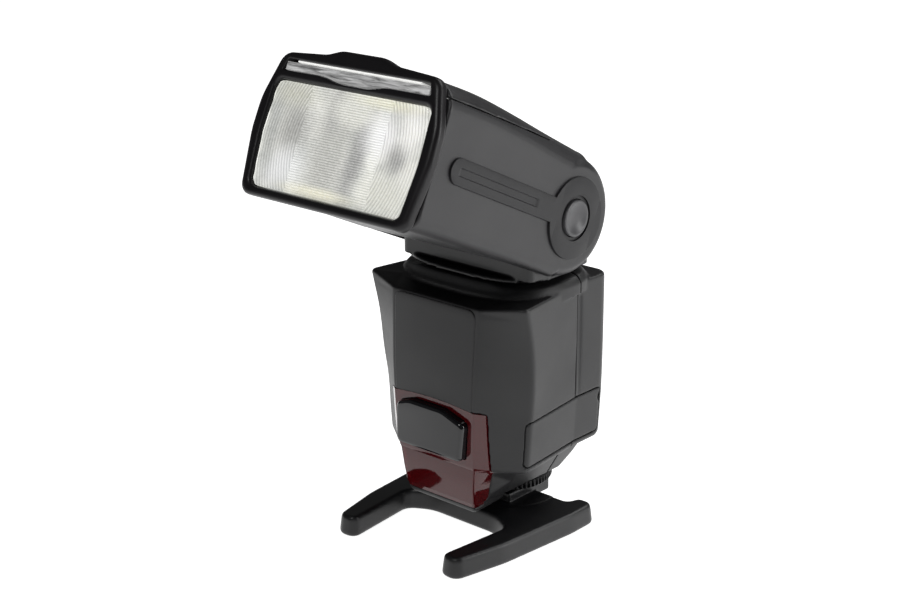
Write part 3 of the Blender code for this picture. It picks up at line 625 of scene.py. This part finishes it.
def build_body():
    """Build both shells, the red window, the battery door and the socket cover."""
    skin = body_solid("front_shell_skin", 0.0)
    for side in (-1.0, 1.0):
        cut(skin, cylinder("seam_channel", 1.5, 38.0, 85.5, (side * 31.1, SEAM_Y + 1.9)))
    cut(skin, body_solid("inner", WALL))

    window = new_object("red_window_lens", skin.data.copy())
    combine(window, window_block("window_limit", 0.0), "INTERSECT")
    cut(window, prism("assist_hole", assist_outline(GAP), -40.0, -20.0, "Y"))
    place(window, "flash_body", "red", "red_sensor_window")

    door = new_object("battery_door_skin", skin.data.copy())
    combine(door, prism("door_limit", rectangle(*DOOR, 1.5), 22.0, 40.0, "X"), "INTERSECT")
    cut(door, cylinder("finger_notch", 2.6, 20.0, 40.0, (24.2, 44.4), "X"))
    soften(door, 0.4, 3)
    place(door, "battery_door", "body", "battery_door")

    cover = new_object("port_cover_flap", skin.data.copy())
    combine(cover, prism("cover_limit", rectangle(*PORT, 1.5), -40.0, -24.0, "X"), "INTERSECT")
    soften(cover, 0.4, 3)
    place(cover, "port_cover", "rubber", "port_cover")

    door_hole = rectangle(*DOOR, 1.5, GAP - 0.05)
    cut(skin, window_block("window_hole", GAP - 0.1),
        prism("door_hole", door_hole, 22.0, 40.0, "X"),
        cylinder("swivel_hole", 18.3, 70.0, 110.0),
        cylinder("foot_hole", 7.3, 10.0, 25.0, (0.0, FOOT_Y)),
        prism("display_hole", rectangle(*DISPLAY, 1.5), 20.0, 30.0, "Y"),
        prism("port_hole", rectangle(*PORT, 1.5, GAP - 0.05), -40.0, -20.0, "X"))
    for values in BUTTONS.values():
        cut(skin, prism("button_hole", button_outline(*values, GAP), 20.0, 30.0, "Y"))
    rear = new_object("rear_shell_skin", skin.data.copy())
    cut(rear, box("front_half", (-50.0, -60.0, 0.0), (50.0, SEAM_Y + 0.2, 120.0)))
    soften(rear, 0.42, 6)
    place(rear, "flash_body", "body", "rear_shell")
    cut(skin, box("rear_half", (-50.0, SEAM_Y, 0.0), (50.0, 60.0, 120.0)))
    soften(skin, 0.42, 6)
    place(skin, "flash_body", "body", "front_shell")


def build_front_panel():
    """Build the raised plate on the front and the black focus assist window."""
    low, high, corner = 46.0, PANEL_TOP_Z - 0.8, 3.0
    sections = []
    for z in [*np.linspace(low, high - corner, 24), *[high - corner + corner * sin(t)
              for t in np.linspace(0.15, 1.5, 8)]]:
        _, half, front, *_ = level_at(BODY_LEVELS, z)
        bend = max(0.0, z - (high - corner))
        half -= 0.9 + corner - sqrt(corner ** 2 - bend ** 2)
        outline = rounded([(-half, front - 0.3, 0.5), (half, front - 0.3, 0.5),
                           (half - 0.2, front + 0.9, 0.2), (-half + 0.2, front + 0.9, 0.2)], 4)
        sections.append([(x, y, z) for x, y in outline])
    panel = loft("front_panel_plate", sections)
    cut(panel, window_block("window_edge", GAP))
    place(panel, "flash_body", "body")

    steps = ((-28.0, 0.0), (-33.6, 0.0), (-34.4, -0.12), (-34.85, -0.4), (-35.08, -0.9),
             (-35.18, -1.4))
    window = layered("focus_assist_lens", assist_outline, steps, "Y")
    place(window, "flash_body", "gloss", "focus_assist_window")


def build_rear_controls():
    """Build the buttons with their printed signs, and the frame around the display."""
    steps = ((-3.4, 0.9), (-2.6, 0.9), (-2.6, 0.0), (0.0, 0.0), (0.35, -0.1), (0.58, -0.35),
             (0.68, -0.8))
    steps = [(REAR_Y + out, grow) for out, grow in steps]
    for name, values in BUTTONS.items():
        cap = layered(name + "_cap", lambda grow, v=values: button_outline(*v, grow), steps, "Y")
        place(cap, name, "key", name)
    arrows = {"button_up": 90.0, "button_down": 270.0, "button_left": 0.0, "button_right": 180.0}
    for name, turn in arrows.items():
        x, z, *_ = BUTTONS[name]
        arrow = circle(0.9, 3, (x, z), turn)
        sign = prism(name + "_sign", arrow, REAR_Y + 0.5, REAR_Y + 0.7, "Y")
        place(sign, name, "print")
    for name in ("button_pilot", "button_power", "button_ok"):
        x, z, *_ = BUTTONS[name]
        ring = cylinder(name + "_sign", 1.3, REAR_Y + 0.5, REAR_Y + 0.7, (x, z), "Y", 32)
        cut(ring, cylinder("centre", 0.95, REAR_Y, REAR_Y + 1.0, (x, z), "Y", 32))
        place(ring, name, "print")

    outer = rectangle(*DISPLAY, 1.5, -GAP)
    steps = ((REAR_Y - 1.4, 0.0), (REAR_Y - 0.45, 0.0), (REAR_Y - 0.3, -0.2))
    window = layered("display_cover", lambda grow: rectangle(*DISPLAY, 1.5, grow - GAP), steps,
                     "Y")
    place(window, "flash_body", "window", "display_window")
    mask = prism("display_mask", outer, REAR_Y - 1.9, REAR_Y - 1.7, "Y")
    cut(mask, prism("view", rectangle(-15.5, 15.5, 65.5, 80.0, 0.8), 20.0, 30.0, "Y"))
    place(mask, "flash_body", "gloss")
    for index in range(11):
        x = -13.0 + 2.6 * index
        tall = 1.6 if index % 5 == 0 else 1.0
        tick = box(f"display_tick_{index}", (x - 0.2, 24.65, 67.2), (x + 0.2, 24.7, 67.2 + tall))
        place(tick, "flash_body", "ink")


# ---------------- foot and stand

RING_R = 16.7
RING_Z = (11.6, 15.6)
STAND_Z = 7.7
STAND_RIGHT = [
    (15.0, -17.6, 14.0), (22.6, -22.0, 4.0), (19.6, -52.0, 3.4), (28.0, -53.0, 4.2),
    (32.6, -32.0, 40.0), (35.6, 1.0, 40.0), (35.4, 14.6, 4.0), (27.6, 14.2, 3.0), (26.0, 9.4, 1.5),
]
INSERT_Y = -8.5


def knurled(radius, depth, teeth):
    """Return the outline of a wheel with rounded knurling."""
    outline = []
    count = teeth * 6
    for index in range(count):
        angle = tau * index / count
        reach = radius - depth * (0.5 - 0.5 * cos(angle * teeth)) ** 1.5
        outline.append((reach * cos(angle), FOOT_Y + reach * sin(angle)))
    return outline


def build_ring():
    """Build the knurled locking ring."""
    steps = ((RING_Z[0], 1.2, 0.1), (RING_Z[0] + 0.4, 0.5, 0.3), (RING_Z[0] + 0.8, 0.0, 0.9),
             (RING_Z[1] - 0.8, 0.0, 0.9), (RING_Z[1] - 0.4, 0.5, 0.3), (RING_Z[1], 1.2, 0.1))
    ring = stack("knurled_ring", [knurled(RING_R - back, depth, 60) for _, back, depth in steps],
                 [z for z, _, _ in steps], "Z")
    cut(ring, cylinder("ring_bore", 6.4, 11.0, 14.2, (0.0, FOOT_Y)),
        cylinder("sleeve_bore", 7.4, 13.9, 16.0, (0.0, FOOT_Y)))
    place(ring, "locking_ring", "satin", "locking_ring")


def stand_outline(inset):
    """Return the stand's plan outline, drawn in by the inset."""
    around = [Vector((x, y)) for x, y, _ in mirrored(STAND_RIGHT)]
    corners = []
    for index, (x, y, radius) in enumerate(STAND_RIGHT):
        into = (around[index] - around[index - 1]).normalized()
        away = (around[index + 1] - around[index]).normalized()
        normal = Vector((-into.y - away.y, into.x + away.x))
        shift = normal / normal.length_squared * 2 * inset
        turn = into.x * away.y - into.y * away.x
        eased = max(0.4, radius - copysign(inset, turn))
        corners.append((x + shift.x, y + shift.y, eased))
    return rounded(mirrored(corners))


def build_stand():
    """Build the mini stand with its shoe, the round pad and the tripod thread."""
    steps = ((0.0, 1.4), (0.4, 0.6), (0.9, 0.15), (1.4, 0.0), (6.2, 0.6), (STAND_Z - 0.5, 0.9),
             (STAND_Z - 0.1, 1.4), (STAND_Z, 1.9))
    stand = layered("mini_stand_moulding", stand_outline, steps, "Z")
    shoe = box("shoe", (-12.5, FOOT_Y - 13.0, STAND_Z - 2.0), (12.5, FOOT_Y + 9.6, 11.3))
    cut(shoe, box("shoe_slot", (-9.6, FOOT_Y - 9.4, 7.9), (9.6, 40.0, 10.5)),
        box("shoe_throat", (-6.5, FOOT_Y - 6.6, 9.0), (6.5, 40.0, 12.0)))
    fuse(stand, shoe)
    cut(stand, cylinder("insert_bore", 5.3, -1.0, 6.0, (0.0, INSERT_Y)))
    soften(stand, 0.45, 4)
    place(stand, "stand", "satin", "mini_stand")

    pad_r = 21.0
    arc = [(x, y + FOOT_Y) for x, y in circle(pad_r, 120) if y + FOOT_Y < 8.0]
    pad_steps = ((STAND_Z - 0.4, 1.0), (STAND_Z + 0.25, 1.0), (STAND_Z + 0.4, 0.985))
    pad = layered("stand_pad", lambda k: [(x * k, FOOT_Y + (y - FOOT_Y) * k) for x, y in arc],
                  pad_steps, "Z")
    cut(pad, box("shoe_room", (-12.3, FOOT_Y - 12.8, 5.0), (12.3, 30.0, 12.0)))
    place(pad, "stand", "satin")

    insert = cylinder("tripod_insert_thread", 5.0, 0.4, 5.7, (0.0, INSERT_Y))
    profile = []
    for index in range(9):
        z = 0.35 + 0.62 * index
        profile += [(3.2, z), (3.55, z + 0.31)]
    cut(insert, turned("thread", [(3.2, -1.0), *profile, (3.2, 7.0)], (0.0, INSERT_Y)))
    place(insert, "stand", "brass", "tripod_insert")


# ---------------- neck

def build_neck():
    """Build the neck with its ribbed base and the barrel around the tilt axis."""
    neck = cylinder("neck_moulding", 18.0, 82.3, 96.0)
    outline = superellipse(29.6, 20.9, 3.0, 120)
    ribs = ((COLLAR_Z + 0.3, 1.0), (COLLAR_Z + 1.2, 0.995), (COLLAR_Z + 1.7, 0.98),
            (COLLAR_Z + 1.9, 0.95))
    base = layered("base", lambda k: [(x * k, y * k) for x, y in outline], ribs, "Z")
    stem = prism("stem", rectangle(-29.0, 29.0, -16.5, 16.5, 3.0), COLLAR_Z + 1.0, PIVOT_Z)
    barrel = cylinder("barrel", BARREL_R, -NECK_HALF, NECK_HALF, (0.0, PIVOT_Z), "X")
    boss = cylinder("boss", 9.0, -31.8, 31.8, (0.0, PIVOT_Z), "X")
    fuse(neck, base, stem, barrel, boss)
    cut(neck, cylinder("cable_room", 7.0, 70.0, PIVOT_Z - 4.0))
    soften(neck, 0.45, 2)
    place(neck, "neck", "satin", "neck")


# ---------------- head

# distance in front of the tilt axis, half width, underside, top
HEAD_LEVELS = (
    (0.0, 34.3, -21.2, 23.3),
    (20.0, 34.7, -21.2, 24.4),
    (40.0, 35.6, -21.2, 25.6),
    (60.0, 36.6, -21.2, 26.2),
    (77.9, 37.4, -21.6, 25.4),
)
CAVITY_F = 30.0            # rear end of the head's hollow
CARD_HALF = 26.6           # half width of the white card
PANEL_HALF = 30.2          # half width of the clear panel
TOP_REAR_F = 19.0          # rear end of the upper cover
HUB_R = 16.8               # flat face around the pivot cover


def head_section(front, half, low, high, inset):
    """Return one cross section of the head."""
    outline = rounded(mirrored([(half - inset, low + inset, 5.0),
                                (half - inset, high - inset - 2.0, 9.0),
                                (0.45 * half, high - inset, 20.0)]))
    return [(x, -front, u) for x, u in outline]


def side_x(front):
    """Return the half width of the head at a distance in front of the tilt axis."""
    rows = np.array(HEAD_LEVELS)
    return np.interp(front, rows[:, 0], rows[:, 1])


def head_solid():
    """Return the head as one solid with its round cheeks, before it is hollowed."""
    levels = [(-2.3, *HEAD_LEVELS[0][1:])]
    levels += [level_at(HEAD_LEVELS, f) for f in np.linspace(0.0, 77.4, 20)]
    sections = [head_section(*level, 0.0) for level in levels]
    sections.append(head_section(*HEAD_LEVELS[-1], 0.4))
    solid = loft("head", sections)
    cut(solid, box("rear_corner", (-50.0, 0.0, -40.0), (50.0, 10.0, 0.0)))
    profile = [(HUB_R, 34.35), (HUB_R + 0.7, 34.1), (18.6, 33.3), (19.4, 32.4), (19.85, 31.4),
               (20.0, 30.4)]
    rings = [(r, -x) for r, x in profile] + [(r, x) for r, x in reversed(profile)]
    fuse(solid, turned("cheeks", rings, axis="X"))
    for side in (-1.0, 1.0):
        rim = [(HUB_R + 0.2, 36.0), (HUB_R + 0.3, 34.3), (HUB_R + 1.4, 33.3), (HUB_R + 2.6, 33.2),
               (HUB_R + 4.6, 34.0), (HUB_R + 6.5, 36.0)]
        groove = turned("hub_groove", [(r, side * x) for r, x in rim], axis="X")
        cut(groove, cylinder("hub", HUB_R + 0.2, side * 30.0, side * 37.0, axis="X"))
        cut(solid, groove)
    return solid


def neck_room_outline():
    """Return the side profile of the room the neck sweeps inside the head."""
    radius = BARREL_R + 0.4
    arc = [pi - pi / 2 * step / 24 for step in range(25)]
    return [(-27.0, -30.0), (-27.0, -15.4), (-19.8, -15.4), (-19.8, 0.0),
            *[(radius * cos(turn), radius * sin(turn)) for turn in arc],
            (30.0, radius), (30.0, -30.0)]


def build_head_shells():
    """Build the lower shell and the top cover of the head."""
    solid = head_solid()
    inner = [head_section(*level, WALL) for level in HEAD_LEVELS[2:]]
    start = [(x, -CAVITY_F, u) for x, _, u in inner[0]]
    room = loft("room", [start, *inner[1:], [(x, -90.0, u) for x, _, u in inner[-1]]])
    reach = NECK_HALF + GAP
    cut(solid, room, prism("neck_room", neck_room_outline(), -reach, reach, "X"),
        cylinder("boss_room", 9.3, -32.1, 32.1, axis="X"),
        cylinder("button_hole", 6.5, 30.0, 40.0, axis="X"),
        box("panel_slot", (-PANEL_HALF - 1.0, -90.0, 18.4), (PANEL_HALF + 1.0, -24.0, 20.8)))

    def above(grow):
        return prism("above", [(-100.0, 18.7 + grow), (-TOP_REAR_F - grow, 20.9 + grow),
                               (-TOP_REAR_F - grow, 60.0), (-100.0, 60.0)], -50.0, 50.0, "X")
    upper = new_object("head_top_cover", solid.data.copy())
    combine(upper, above(0.25), "INTERSECT")
    soften(upper, 0.45, 3)
    place_head(upper, "head", "head_upper_shell")
    solid.name = "head_lower_moulding"
    cut(solid, above(0.0))
    soften(solid, 0.45, 3)
    place_head(solid, "head", "head_lower_shell")


BEZEL_RIGHT = [
    (36.0, -22.8, 4.0), (38.9, -2.0, 30.0), (38.6, 9.0, 25.0), (33.6, 24.4, 5.0),
    (15.0, 25.7, 12.0), (9.0, 27.6, 10.0),
]
LENS_RIGHT = [(32.5, -19.7, 3.0), (34.2, -2.0, 50.0), (33.5, 15.6, 3.0)]
LENS_LOW, LENS_HIGH = -19.4, 15.3      # lower and upper edge of the lens plate
LENS_BACK, LENS_FRONT = 76.0, 80.6     # its rear and front face, in front of the tilt axis
SLOT_HALF = 32.0
RIDGE_PITCH = 0.8
ARC_PITCH = 1.15
RIDGE_HEIGHT = 0.22
RIDGE_HALF = 17.5          # half width of the lens's middle band with level ridges


def lens_outline(grow):
    """Return the outline of the lens opening."""
    return rounded(mirrored([(x + grow, u + grow * copysign(1.0, u), radius)
                             for x, u, radius in LENS_RIGHT]))


def slot_floor(x):
    """Return the height of the slot's lower edge, which dips in the middle for a finger."""
    return 18.4 - 1.5 * (1.0 - smoothstep(5.0, 15.0, abs(x)))


def build_bezel():
    """Build the frame around the lens, with the slot for the panel and card."""
    outline = rounded(mirrored(BEZEL_RIGHT))
    steps = ((-77.8, 0.975), (-78.0, 0.99), (-78.3, 0.998), (-78.8, 1.0), (-80.6, 1.0),
             (-81.4, 0.992), (-81.9, 0.978), (-82.2, 0.955))
    bezel = layered("bezel_frame", lambda k: [(k * x, k * u) for x, u in outline], steps, "Y")
    flare = ((-70.0, 0.0), (-81.2, 0.0), (-81.7, 0.2), (-82.05, 0.6), (-82.25, 1.2), (-82.6, 2.0))
    opening = layered("lens_hole", lens_outline, flare, "Y")
    floor = [(x, slot_floor(x)) for x in np.linspace(-SLOT_HALF, SLOT_HALF, 65)]
    slot = prism("slot", [*floor, (SLOT_HALF - 1.5, 22.3), (-SLOT_HALF + 1.5, 22.3)],
                 -90.0, -79.4, "Y")
    deep = prism("panel_hole", rectangle(-PANEL_HALF - 0.4, PANEL_HALF + 0.4, 18.6, 22.3, 0.3),
                 -90.0, -70.0, "Y")
    cut(bezel, opening, slot, deep)
    soften(bezel, 0.4, 3)
    place_head(bezel, "bezel", "head_bezel")


def ridge_wave(x, u):
    """Return a 0 to 1 wave for the lens's ridges: level in the middle, arcs at the sides."""
    if abs(x) > RIDGE_HALF:
        reach = hypot(abs(x) + 4.0, 0.9 * (u + 2.0)) / ARC_PITCH
    else:
        reach = u / RIDGE_PITCH
    return 0.5 + 0.5 * cos(tau * reach)


def lens_half(u):
    """Return the half width of the lens plate at a height, with its rounded corners."""
    corner = 3.0
    half = np.interp(u, (LENS_LOW, -2.0, LENS_HIGH), (32.2, 33.9, 33.2))
    bend = max(0.0, LENS_LOW + corner - u, u - (LENS_HIGH - corner))
    return half - corner + sqrt(max(0.0, corner ** 2 - bend ** 2))


def build_lens():
    """Build the ridged lens plate, with painted shade in the ridges' hollows and on its rim, and a
    painted highlight on its side edges, kept for its surface colour.
    """
    row_count, column_count = 220, 320
    points = []
    tones = []
    for u in np.linspace(LENS_LOW, LENS_HIGH, row_count + 1):
        half = lens_half(u)
        for index in range(column_count + 1):
            x = half * (2 * index / column_count - 1)
            wave = ridge_wave(x, u)
            points.append((x, -LENS_FRONT - RIDGE_HEIGHT * wave, u))
            # painted shade: the ridges' hollows are darkened, more in the arcs at the sides; the
            # side edges get a painted highlight
            deep = 0.36 if abs(x) > RIDGE_HALF else 0.2
            lit_edge = index < 2 or index > column_count - 1
            tones.append(1.35 if lit_edge else 1.0 - deep * (1.0 - wave))
    faces = []
    wide = column_count + 1
    for row in range(row_count):
        for index in range(column_count):
            corner = row * wide + index
            faces.append((corner, corner + 1, corner + wide + 1, corner + wide))
    rim = [*range(wide), *[row * wide + column_count for row in range(1, row_count + 1)],
           *reversed(range(row_count * wide, (row_count + 1) * wide - 1)),
           *[row * wide for row in range(row_count - 1, 0, -1)]]
    back = len(points)
    points += [(points[index][0], -LENS_BACK, points[index][2]) for index in rim]
    # painted shade on the plate's rim faces
    tones += [0.8] * len(rim)
    count = len(rim)
    for index in range(count):
        after = (index + 1) % count
        faces.append((rim[index], rim[after], back + after, back + index))
    faces.append(tuple(range(back, back + count)))
    lens = mesh_object("lens_plate", points, faces)
    painted_ridge_shading = lens.data.color_attributes.new("painted_ridge_shading", "FLOAT_COLOR", "POINT")
    for entry, tone in zip(painted_ridge_shading.data, tones):
        entry.color = (tone, tone, tone, 1.0)
    place_head(lens, "lens", "fresnel_lens")


def build_slot_pieces():
    """Build the slide-out clear panel with its pull lip, and the white card."""
    panel = prism("wide_panel_plate", rectangle(-PANEL_HALF, PANEL_HALF, 19.0, 20.0, 0.3),
                  -80.4, -31.0, "Y")
    edge = [(x, slot_floor(x) + 0.25) for x in np.linspace(-30.8, 30.8, 65)]
    fuse(panel, prism("lip", [*edge, (30.8, 21.3), (-30.8, 21.3)], -81.6, -80.0, "Y"))
    place_head(panel, "panel", "wide_panel", body="wide_panel")
    card = layered("bounce_card_plate",
                   lambda grow: rectangle(-CARD_HALF, CARD_HALF, 21.55, 22.15, 0.25, grow),
                   ((-33.0, 0.0), (-81.2, 0.0), (-81.4, -0.12)), "Y")
    place_head(card, "card", "bounce_card", body="bounce_card")


DISC_R = 13.9              # radius of the round pivot cover
STRIP = 4.2                # half height of the side strip
NOSE = 70.5                # front end of the strip, in front of the tilt axis
RECESS_HALF = 1.1          # half height of the strip's long recess


def side_strip(name, side):
    """Loft one raised side strip that runs back into the round pivot cover."""
    join = sqrt(DISC_R ** 2 - STRIP ** 2)
    stations = [-DISC_R * cos(t) for t in np.linspace(0.0, pi, 90)
                if -DISC_R * cos(t) < join]
    stations += list(np.linspace(join, NOSE - STRIP, 120))
    stations += [NOSE - STRIP + STRIP * sin(t) for t in np.linspace(0.1, pi / 2, 12)]
    sections = []
    for front in stations:
        if front < join:
            half = sqrt(max(0.04, DISC_R ** 2 - front ** 2))
        else:
            half = sqrt(max(0.04, STRIP ** 2 - max(0.0, front - (NOSE - STRIP)) ** 2))
        inside = side_x(front) - 0.6
        outside = side_x(front) + 0.75
        sunk = 0.4 * smoothstep(22.0, 23.0, front) * (1.0 - smoothstep(65.5, 66.5, front))
        edge = min(0.3, half * 0.4)
        core = min(RECESS_HALF, half * 0.5)
        lip = core + 0.3 if half > 1.5 else core * 1.1
        profile = [(inside, half), (outside - edge, half), (outside - 0.3 * edge, half - 0.3 * edge),
                   (outside, half - edge), (outside, lip), (outside - sunk, core)]
        ring = [(side * x, -front, -u) for x, u in profile]
        ring += [(side * x, -front, u) for x, u in reversed(profile)]
        sections.append(ring)
    return loft(name, sections)


def build_side_pieces():
    """Build the strips on both sides and the dished release button."""
    right = side_strip("right_side_strip", 1.0)
    cut(right, cylinder("ring_step", 7.7, 34.45, 40.0, axis="X"),
        cylinder("button_hole", 6.5, 30.0, 40.0, axis="X"))
    place_head(right, "strip", "right_side_cover")
    left = side_strip("left_side_strip", -1.0)
    place_head(left, "strip", "left_side_cover")
    profile = [(6.2, 33.6), (6.2, 35.2), (6.1, 35.5), (5.8, 35.68), (5.4, 35.68)]
    profile += [(r, 34.4 + 1.28 * (r / 5.4) ** 2) for r in (4.8, 4.0, 3.0, 2.0, 1.0, 0.2)]
    button = turned("release_button_cap", profile, axis="X")
    place_head(button, "button", "release_button", body="release_button")


# ---------------- carried-over pieces

def dress():
    """Give the CAD pieces that stay their material and softened edges."""
    kept = {
        "nickel": ("mounting_foot", "sync_socket", "power_socket", "battery_contact_plate"),
        "steel": ("turntable_plate", "left_guide_rod", "right_guide_rod", "zoom_lead_screw",
                  "zoom_motor", "foot_screw_1", "foot_screw_2", "foot_screw_3", "foot_screw_4",
                  "locking_pin"),
        "gold": ("centre_contact",),
        "tray": ("battery_holder", "zoom_carriage"),
        "circuit": ("main_circuit_board",),
        "sleeve": ("main_capacitor",),
        "tape": ("charging_transformer",),
        "screen": ("display_module",),
        "mirror": ("reflector",),
        "tube": ("flash_tube",),
    }
    for look, names in kept.items():
        for name in names:
            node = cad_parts[name]
            node.data.materials.clear()
            node.data.materials.append(LOOKS[look])
            modify(node, "BEVEL", False, width=0.15 * MM, segments=2, limit_method="ANGLE",
                   angle_limit=radians(40.0))


def make_looks():
    """Make every material once, each named after its look."""
    looks = {
        "body": plastic((0.008, 0.008, 0.0087), 0.46, grain=0.3),
        "head": plastic((0.0125, 0.0122, 0.0135), 0.42),
        "satin": plastic((0.005, 0.005, 0.0057), 0.34, grain=0.5, depth=0.01),
        "bezel": plastic((0.0055, 0.0048, 0.0058), 0.36, grain=0.5, depth=0.008, shine=0.26),
        "button": plastic((0.055, 0.055, 0.058), 0.36, grain=0.4, depth=0.01),
        "key": plastic((0.03, 0.03, 0.032), 0.6, grain=0.25, depth=0.03),
        "rubber": plastic((0.016, 0.016, 0.017), 0.68, grain=0.25),
        "gloss": plastic((0.004, 0.004, 0.005), 0.05, grain=3.0, depth=0.003, shine=0.5),
        "print": plastic((0.6, 0.6, 0.6), 0.5),
        "ink": plastic((0.02, 0.025, 0.02), 0.4),
        "strip": plastic((0.0085, 0.0083, 0.0094), 0.46, shine=0.3),
        # the card's glow is painted light: a white part that is no lamp glows faintly
        "card": painted_glow(plastic((0.85, 0.85, 0.83), 0.45, grain=0.6, spread=0.03), 0.55),
        "tray": plastic((0.02, 0.02, 0.022), 0.6),
        "sleeve": plastic((0.012, 0.012, 0.02), 0.25, grain=1.5),
        "tape": plastic((0.5, 0.34, 0.06), 0.45, grain=1.2),
        "screen": plastic((0.3, 0.34, 0.24), 0.2, grain=4.0, depth=0.003, spread=0.06),
        "circuit": circuit_surface(),
        "red": clear((0.1, 0.003, 0.005), 0.07, 0.55, shine=0.6),
        "lens": lens_surface(),
        "window": clear((0.9, 0.92, 0.9), 0.03, 0.95),
        "panel": panel_surface(),
        "tube": clear((0.95, 0.96, 0.97), 0.02, 0.9),
        "nickel": metal((0.7, 0.69, 0.67), 0.22, (1.0, 8.0, 1.0)),
        "steel": metal((0.5, 0.5, 0.5), 0.32, (1.0, 6.0, 1.0)),
        "gold": metal((0.82, 0.6, 0.22), 0.22),
        "brass": metal((0.74, 0.55, 0.25), 0.3, (1.0, 1.0, 8.0)),
        "mirror": metal((0.93, 0.93, 0.91), 0.1),
    }
    for name, made in looks.items():
        made.name = name + "_surface"
    return looks


# ---------------- stage

CAMERA_LENS = 70.184       # focal length in mm on a sensor 36 mm wide
CAMERA_AZIMUTH = 42.08
CAMERA_ELEVATION = 18.62
CAMERA_ROLL = -0.44
CAMERA_SPOT = (377.0, -440.8, 274.9)
FLOOR_GLOW = 0.92          # the table is a light panel
ROOM_LIGHT = 0.09          # brightness of the room around it


def build_camera():
    """Place the camera that sees the flash from its front right."""
    data = bpy.data.cameras.new("camera")
    data.sensor_width = 36.0
    data.lens = CAMERA_LENS
    camera = new_object("camera", data)
    turn = (Matrix.Rotation(radians(CAMERA_AZIMUTH), 4, "Z")
            @ Matrix.Rotation(radians(90.0 - CAMERA_ELEVATION), 4, "X")
            @ Matrix.Rotation(radians(CAMERA_ROLL), 4, "Z"))
    camera.matrix_world = Matrix.Translation(Vector(CAMERA_SPOT) * MM) @ turn
    bpy.context.scene.camera = camera


def area_light(name, spot, aim, size, power):
    """Place one soft light."""
    data = bpy.data.lights.new(name, "AREA")
    data.shape = "RECTANGLE"
    data.size, data.size_y = size[0] * MM, size[1] * MM
    data.energy = power
    light = new_object(name, data)
    light.location = Vector(spot) * MM
    light.rotation_euler = (Vector(spot) - Vector(aim)).to_track_quat("Z", "Y").to_euler()


def build_stage():
    """Build the bright pale table, the dim room and the soft boxes."""
    made, tree, shader = new_material()
    tones = noise(tree, 3.0, 3.0)
    feed(tree, shader, Base_Color=varied(tree, tones, (0.92, 0.92, 0.92), 0.01), Roughness=0.5,
         Emission_Color=(1.0, 1.0, 1.0, 1.0), Emission_Strength=FLOOR_GLOW)
    size = 6000.0
    floor = mesh_object("floor", [(-size, -size, 0.0), (size, -size, 0.0), (size, size, 0.0),
                                  (-size, size, 0.0)], [(0, 1, 2, 3)])
    made.name = "floor_surface"
    floor.data.materials.append(made)
    world = bpy.data.worlds.new("surroundings")
    world.use_nodes = True
    feed(world.node_tree, world.node_tree.nodes["Background"], Color=(1.0, 1.0, 1.0, 1.0),
         Strength=ROOM_LIGHT)
    bpy.context.scene.world = world
    area_light("key", (150.0, -650.0, 760.0), (0.0, -20.0, 100.0), (260.0, 260.0), 2.2)
    area_light("side", (800.0, 420.0, 300.0), (0.0, 0.0, 90.0), (160.0, 420.0), 3.0)
    area_light("back", (350.0, 800.0, 900.0), (350.0, 600.0, 0.0), (1000.0, 600.0), 7.0)
    bpy.context.scene.view_settings.view_transform = "Standard"


# ---------------- all together

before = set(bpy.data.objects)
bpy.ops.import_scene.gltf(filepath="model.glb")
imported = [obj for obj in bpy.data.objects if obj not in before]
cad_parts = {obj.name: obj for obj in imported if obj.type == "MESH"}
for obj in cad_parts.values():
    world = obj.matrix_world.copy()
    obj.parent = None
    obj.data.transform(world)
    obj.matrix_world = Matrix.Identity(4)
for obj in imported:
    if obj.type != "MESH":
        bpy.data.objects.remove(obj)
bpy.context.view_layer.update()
LOOKS.update(make_looks())
build_body()
build_front_panel()
build_rear_controls()
build_ring()
build_stand()
build_neck()
build_head_shells()
build_bezel()
build_lens()
build_slot_pieces()
build_side_pieces()
dress()
build_camera()
build_stage()
bpy.context.view_layer.update()
